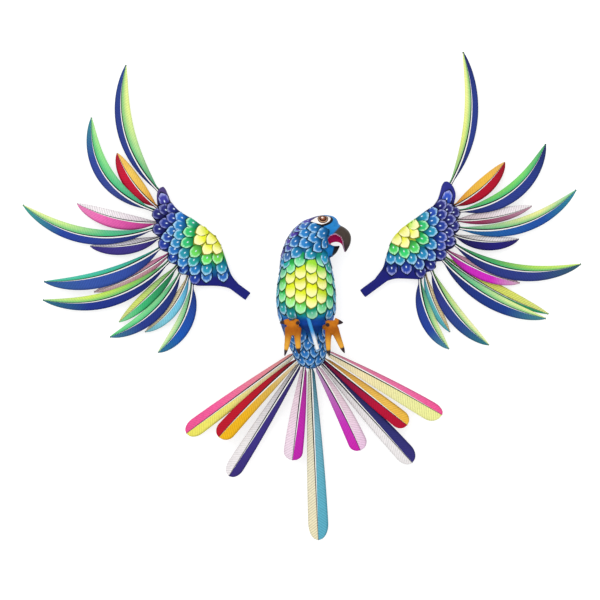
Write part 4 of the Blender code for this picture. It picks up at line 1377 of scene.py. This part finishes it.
def make_quill(bm, slip):
    """The raised quill: a black line, and beside it a white one that narrows away towards the tip."""
    plan, paint = bm.loops.layers.uv["slip"], bm.loops.layers.float_color["paint"]
    strip = bmesh.ops.create_grid(bm, x_segments=QUILL_FACETS[0], y_segments=QUILL_FACETS[1], size=1.0)
    sides = {}
    for vert in strip["verts"]:
        t, s = slip.along((vert.co.x + 1) / 2), vert.co.y
        swell = QUILL_START + QUILL_SWELL * ease(*SWELL_BLEND, t)
        taper = slip.quill * (swell - slip.narrowing * max(t, 0.0) ** NARROWING_POWER)
        if s > 0:
            taper *= WHITE_LEFT + (1 - WHITE_LEFT) * ease(1.0, WHITE_REACH, t)
        rise = QUILL_PROUD * (1 - QUILL_ROUND * abs(s) * min(taper, 1.0))
        vert.co = slip.place(t, s * abs(s) ** 0.5 * taper, QUILL_THICK + rise)
        sides[vert] = s
    for face in faces_of(strip["verts"]):
        line = LINE_WHITE if sum(sides[vert] for vert in face.verts) > 0 else LINE_BLACK
        for loop in face.loops:
            loop[plan].uv = (0.0, 0.0)
            loop[paint] = (*pigment(line), 0.0)


def make_feather(name, row, side, base, shape, rider):
    slip = Slip(row, side, base, shape)
    bm = bmesh.new()
    bm.loops.layers.uv.new("slip")
    bm.loops.layers.float_color.new("paint")
    make_blade(bm, slip)
    make_quill(bm, slip)
    bm.normal_update()
    bmesh.ops.reverse_faces(bm, faces=[face for face in bm.faces if face.normal.z < 0])
    feather = add_object(f"painted_{name}", bm)
    thicken(feather, EDGE_THICK)
    show(feather, barb_finish, rider, name)


for number, row in enumerate(TAIL_FEATHERS, start=1):
    make_feather(f"tail_feather_{number}", row, 1, TAIL_FEATHER_HEIGHT, paddle, "parrot_body")
for number, row in enumerate(LEFT_FEATHERS, start=1):
    make_feather(f"left_feather_{number}", row, 1, WING_FEATHER_HEIGHT, leaf, "left_wing_group")
for number, row in enumerate(RIGHT_FEATHERS, start=1):
    make_feather(f"right_feather_{number}", row, -1, WING_FEATHER_HEIGHT, leaf, "right_wing_group")

# The bird lies on a sheet of white paper that shines a little by itself, under soft light from a wide lamp.
# The camera looks straight down from far away.

FLOOR_HALF = 3.0
FLOOR_DROP = 0.0005
SHEET_GREY = 0.5
SHEET_GLOW = 0.66
SHEET_ROUGHNESS = 0.9
LAMP_SIZE = 1.2
LAMP_POWER = 7.6
LAMP_PLACE = (-0.5, 0.7, 1.6)
ROOM_LIGHT = 0.94
WHITE = (1.0, 1.0, 1.0, 1.0)
FRAME_WIDTH = 0.6
SENSOR_WIDTH = 36.0
CAMERA_AWAY = 4.0
CAMERA_SIGHT = 50.0
CAMERA_OVER = (-0.007, 0.0)
PLANE_HEIGHT = 0.01

floor_mesh = bmesh.new()
bmesh.ops.create_grid(floor_mesh, x_segments=1, y_segments=1, size=FLOOR_HALF)
bmesh.ops.translate(floor_mesh, verts=floor_mesh.verts, vec=(0, 0, -FLOOR_DROP))
floor = add_object("white_sheet", floor_mesh)
paper = Finish("white_sheet", SHEET_ROUGHNESS, shine=0.0)
rays = paper.add("ShaderNodeLightPath", {}).outputs
seen = paper.maths("MAXIMUM", rays["Is Camera Ray"], rays["Is Glossy Ray"])
glow = paper.maths("MULTIPLY", paper.maths("MAXIMUM", seen, rays["Is Transmission Ray"]), SHEET_GLOW)
paper.feed(paper.shader, {"Base Color": (SHEET_GREY, SHEET_GREY, SHEET_GREY, 1.0),
                          "Emission Color": WHITE, "Emission Strength": glow})
floor.data.materials.append(paper.material)

lamp_data = bpy.data.lights.new("wide_lamp", "AREA")
lamp_data.shape = "DISK"
lamp_data.size = LAMP_SIZE
lamp_data.energy = LAMP_POWER
lamp = bpy.data.objects.new("wide_lamp", lamp_data)
lamp.location = LAMP_PLACE
lamp.rotation_euler = (-lamp.location).to_track_quat("-Z", "Y").to_euler()
bpy.context.scene.collection.objects.link(lamp)

world = bpy.data.worlds.new("soft_room")
bpy.context.scene.world = world
world.use_nodes = True
room = world.node_tree.nodes["Background"]
room.inputs["Color"].default_value = WHITE
room.inputs["Strength"].default_value = ROOM_LIGHT

camera_data = bpy.data.cameras.new("camera")
camera_data.sensor_width = SENSOR_WIDTH
camera_data.lens = SENSOR_WIDTH * CAMERA_AWAY / FRAME_WIDTH
camera_data.clip_end = CAMERA_SIGHT
camera = bpy.data.objects.new("camera", camera_data)
camera.location = (*CAMERA_OVER, PLANE_HEIGHT + CAMERA_AWAY)
bpy.context.scene.collection.objects.link(camera)
bpy.context.scene.camera = camera
bpy.context.scene.view_settings.view_transform = "Standard"
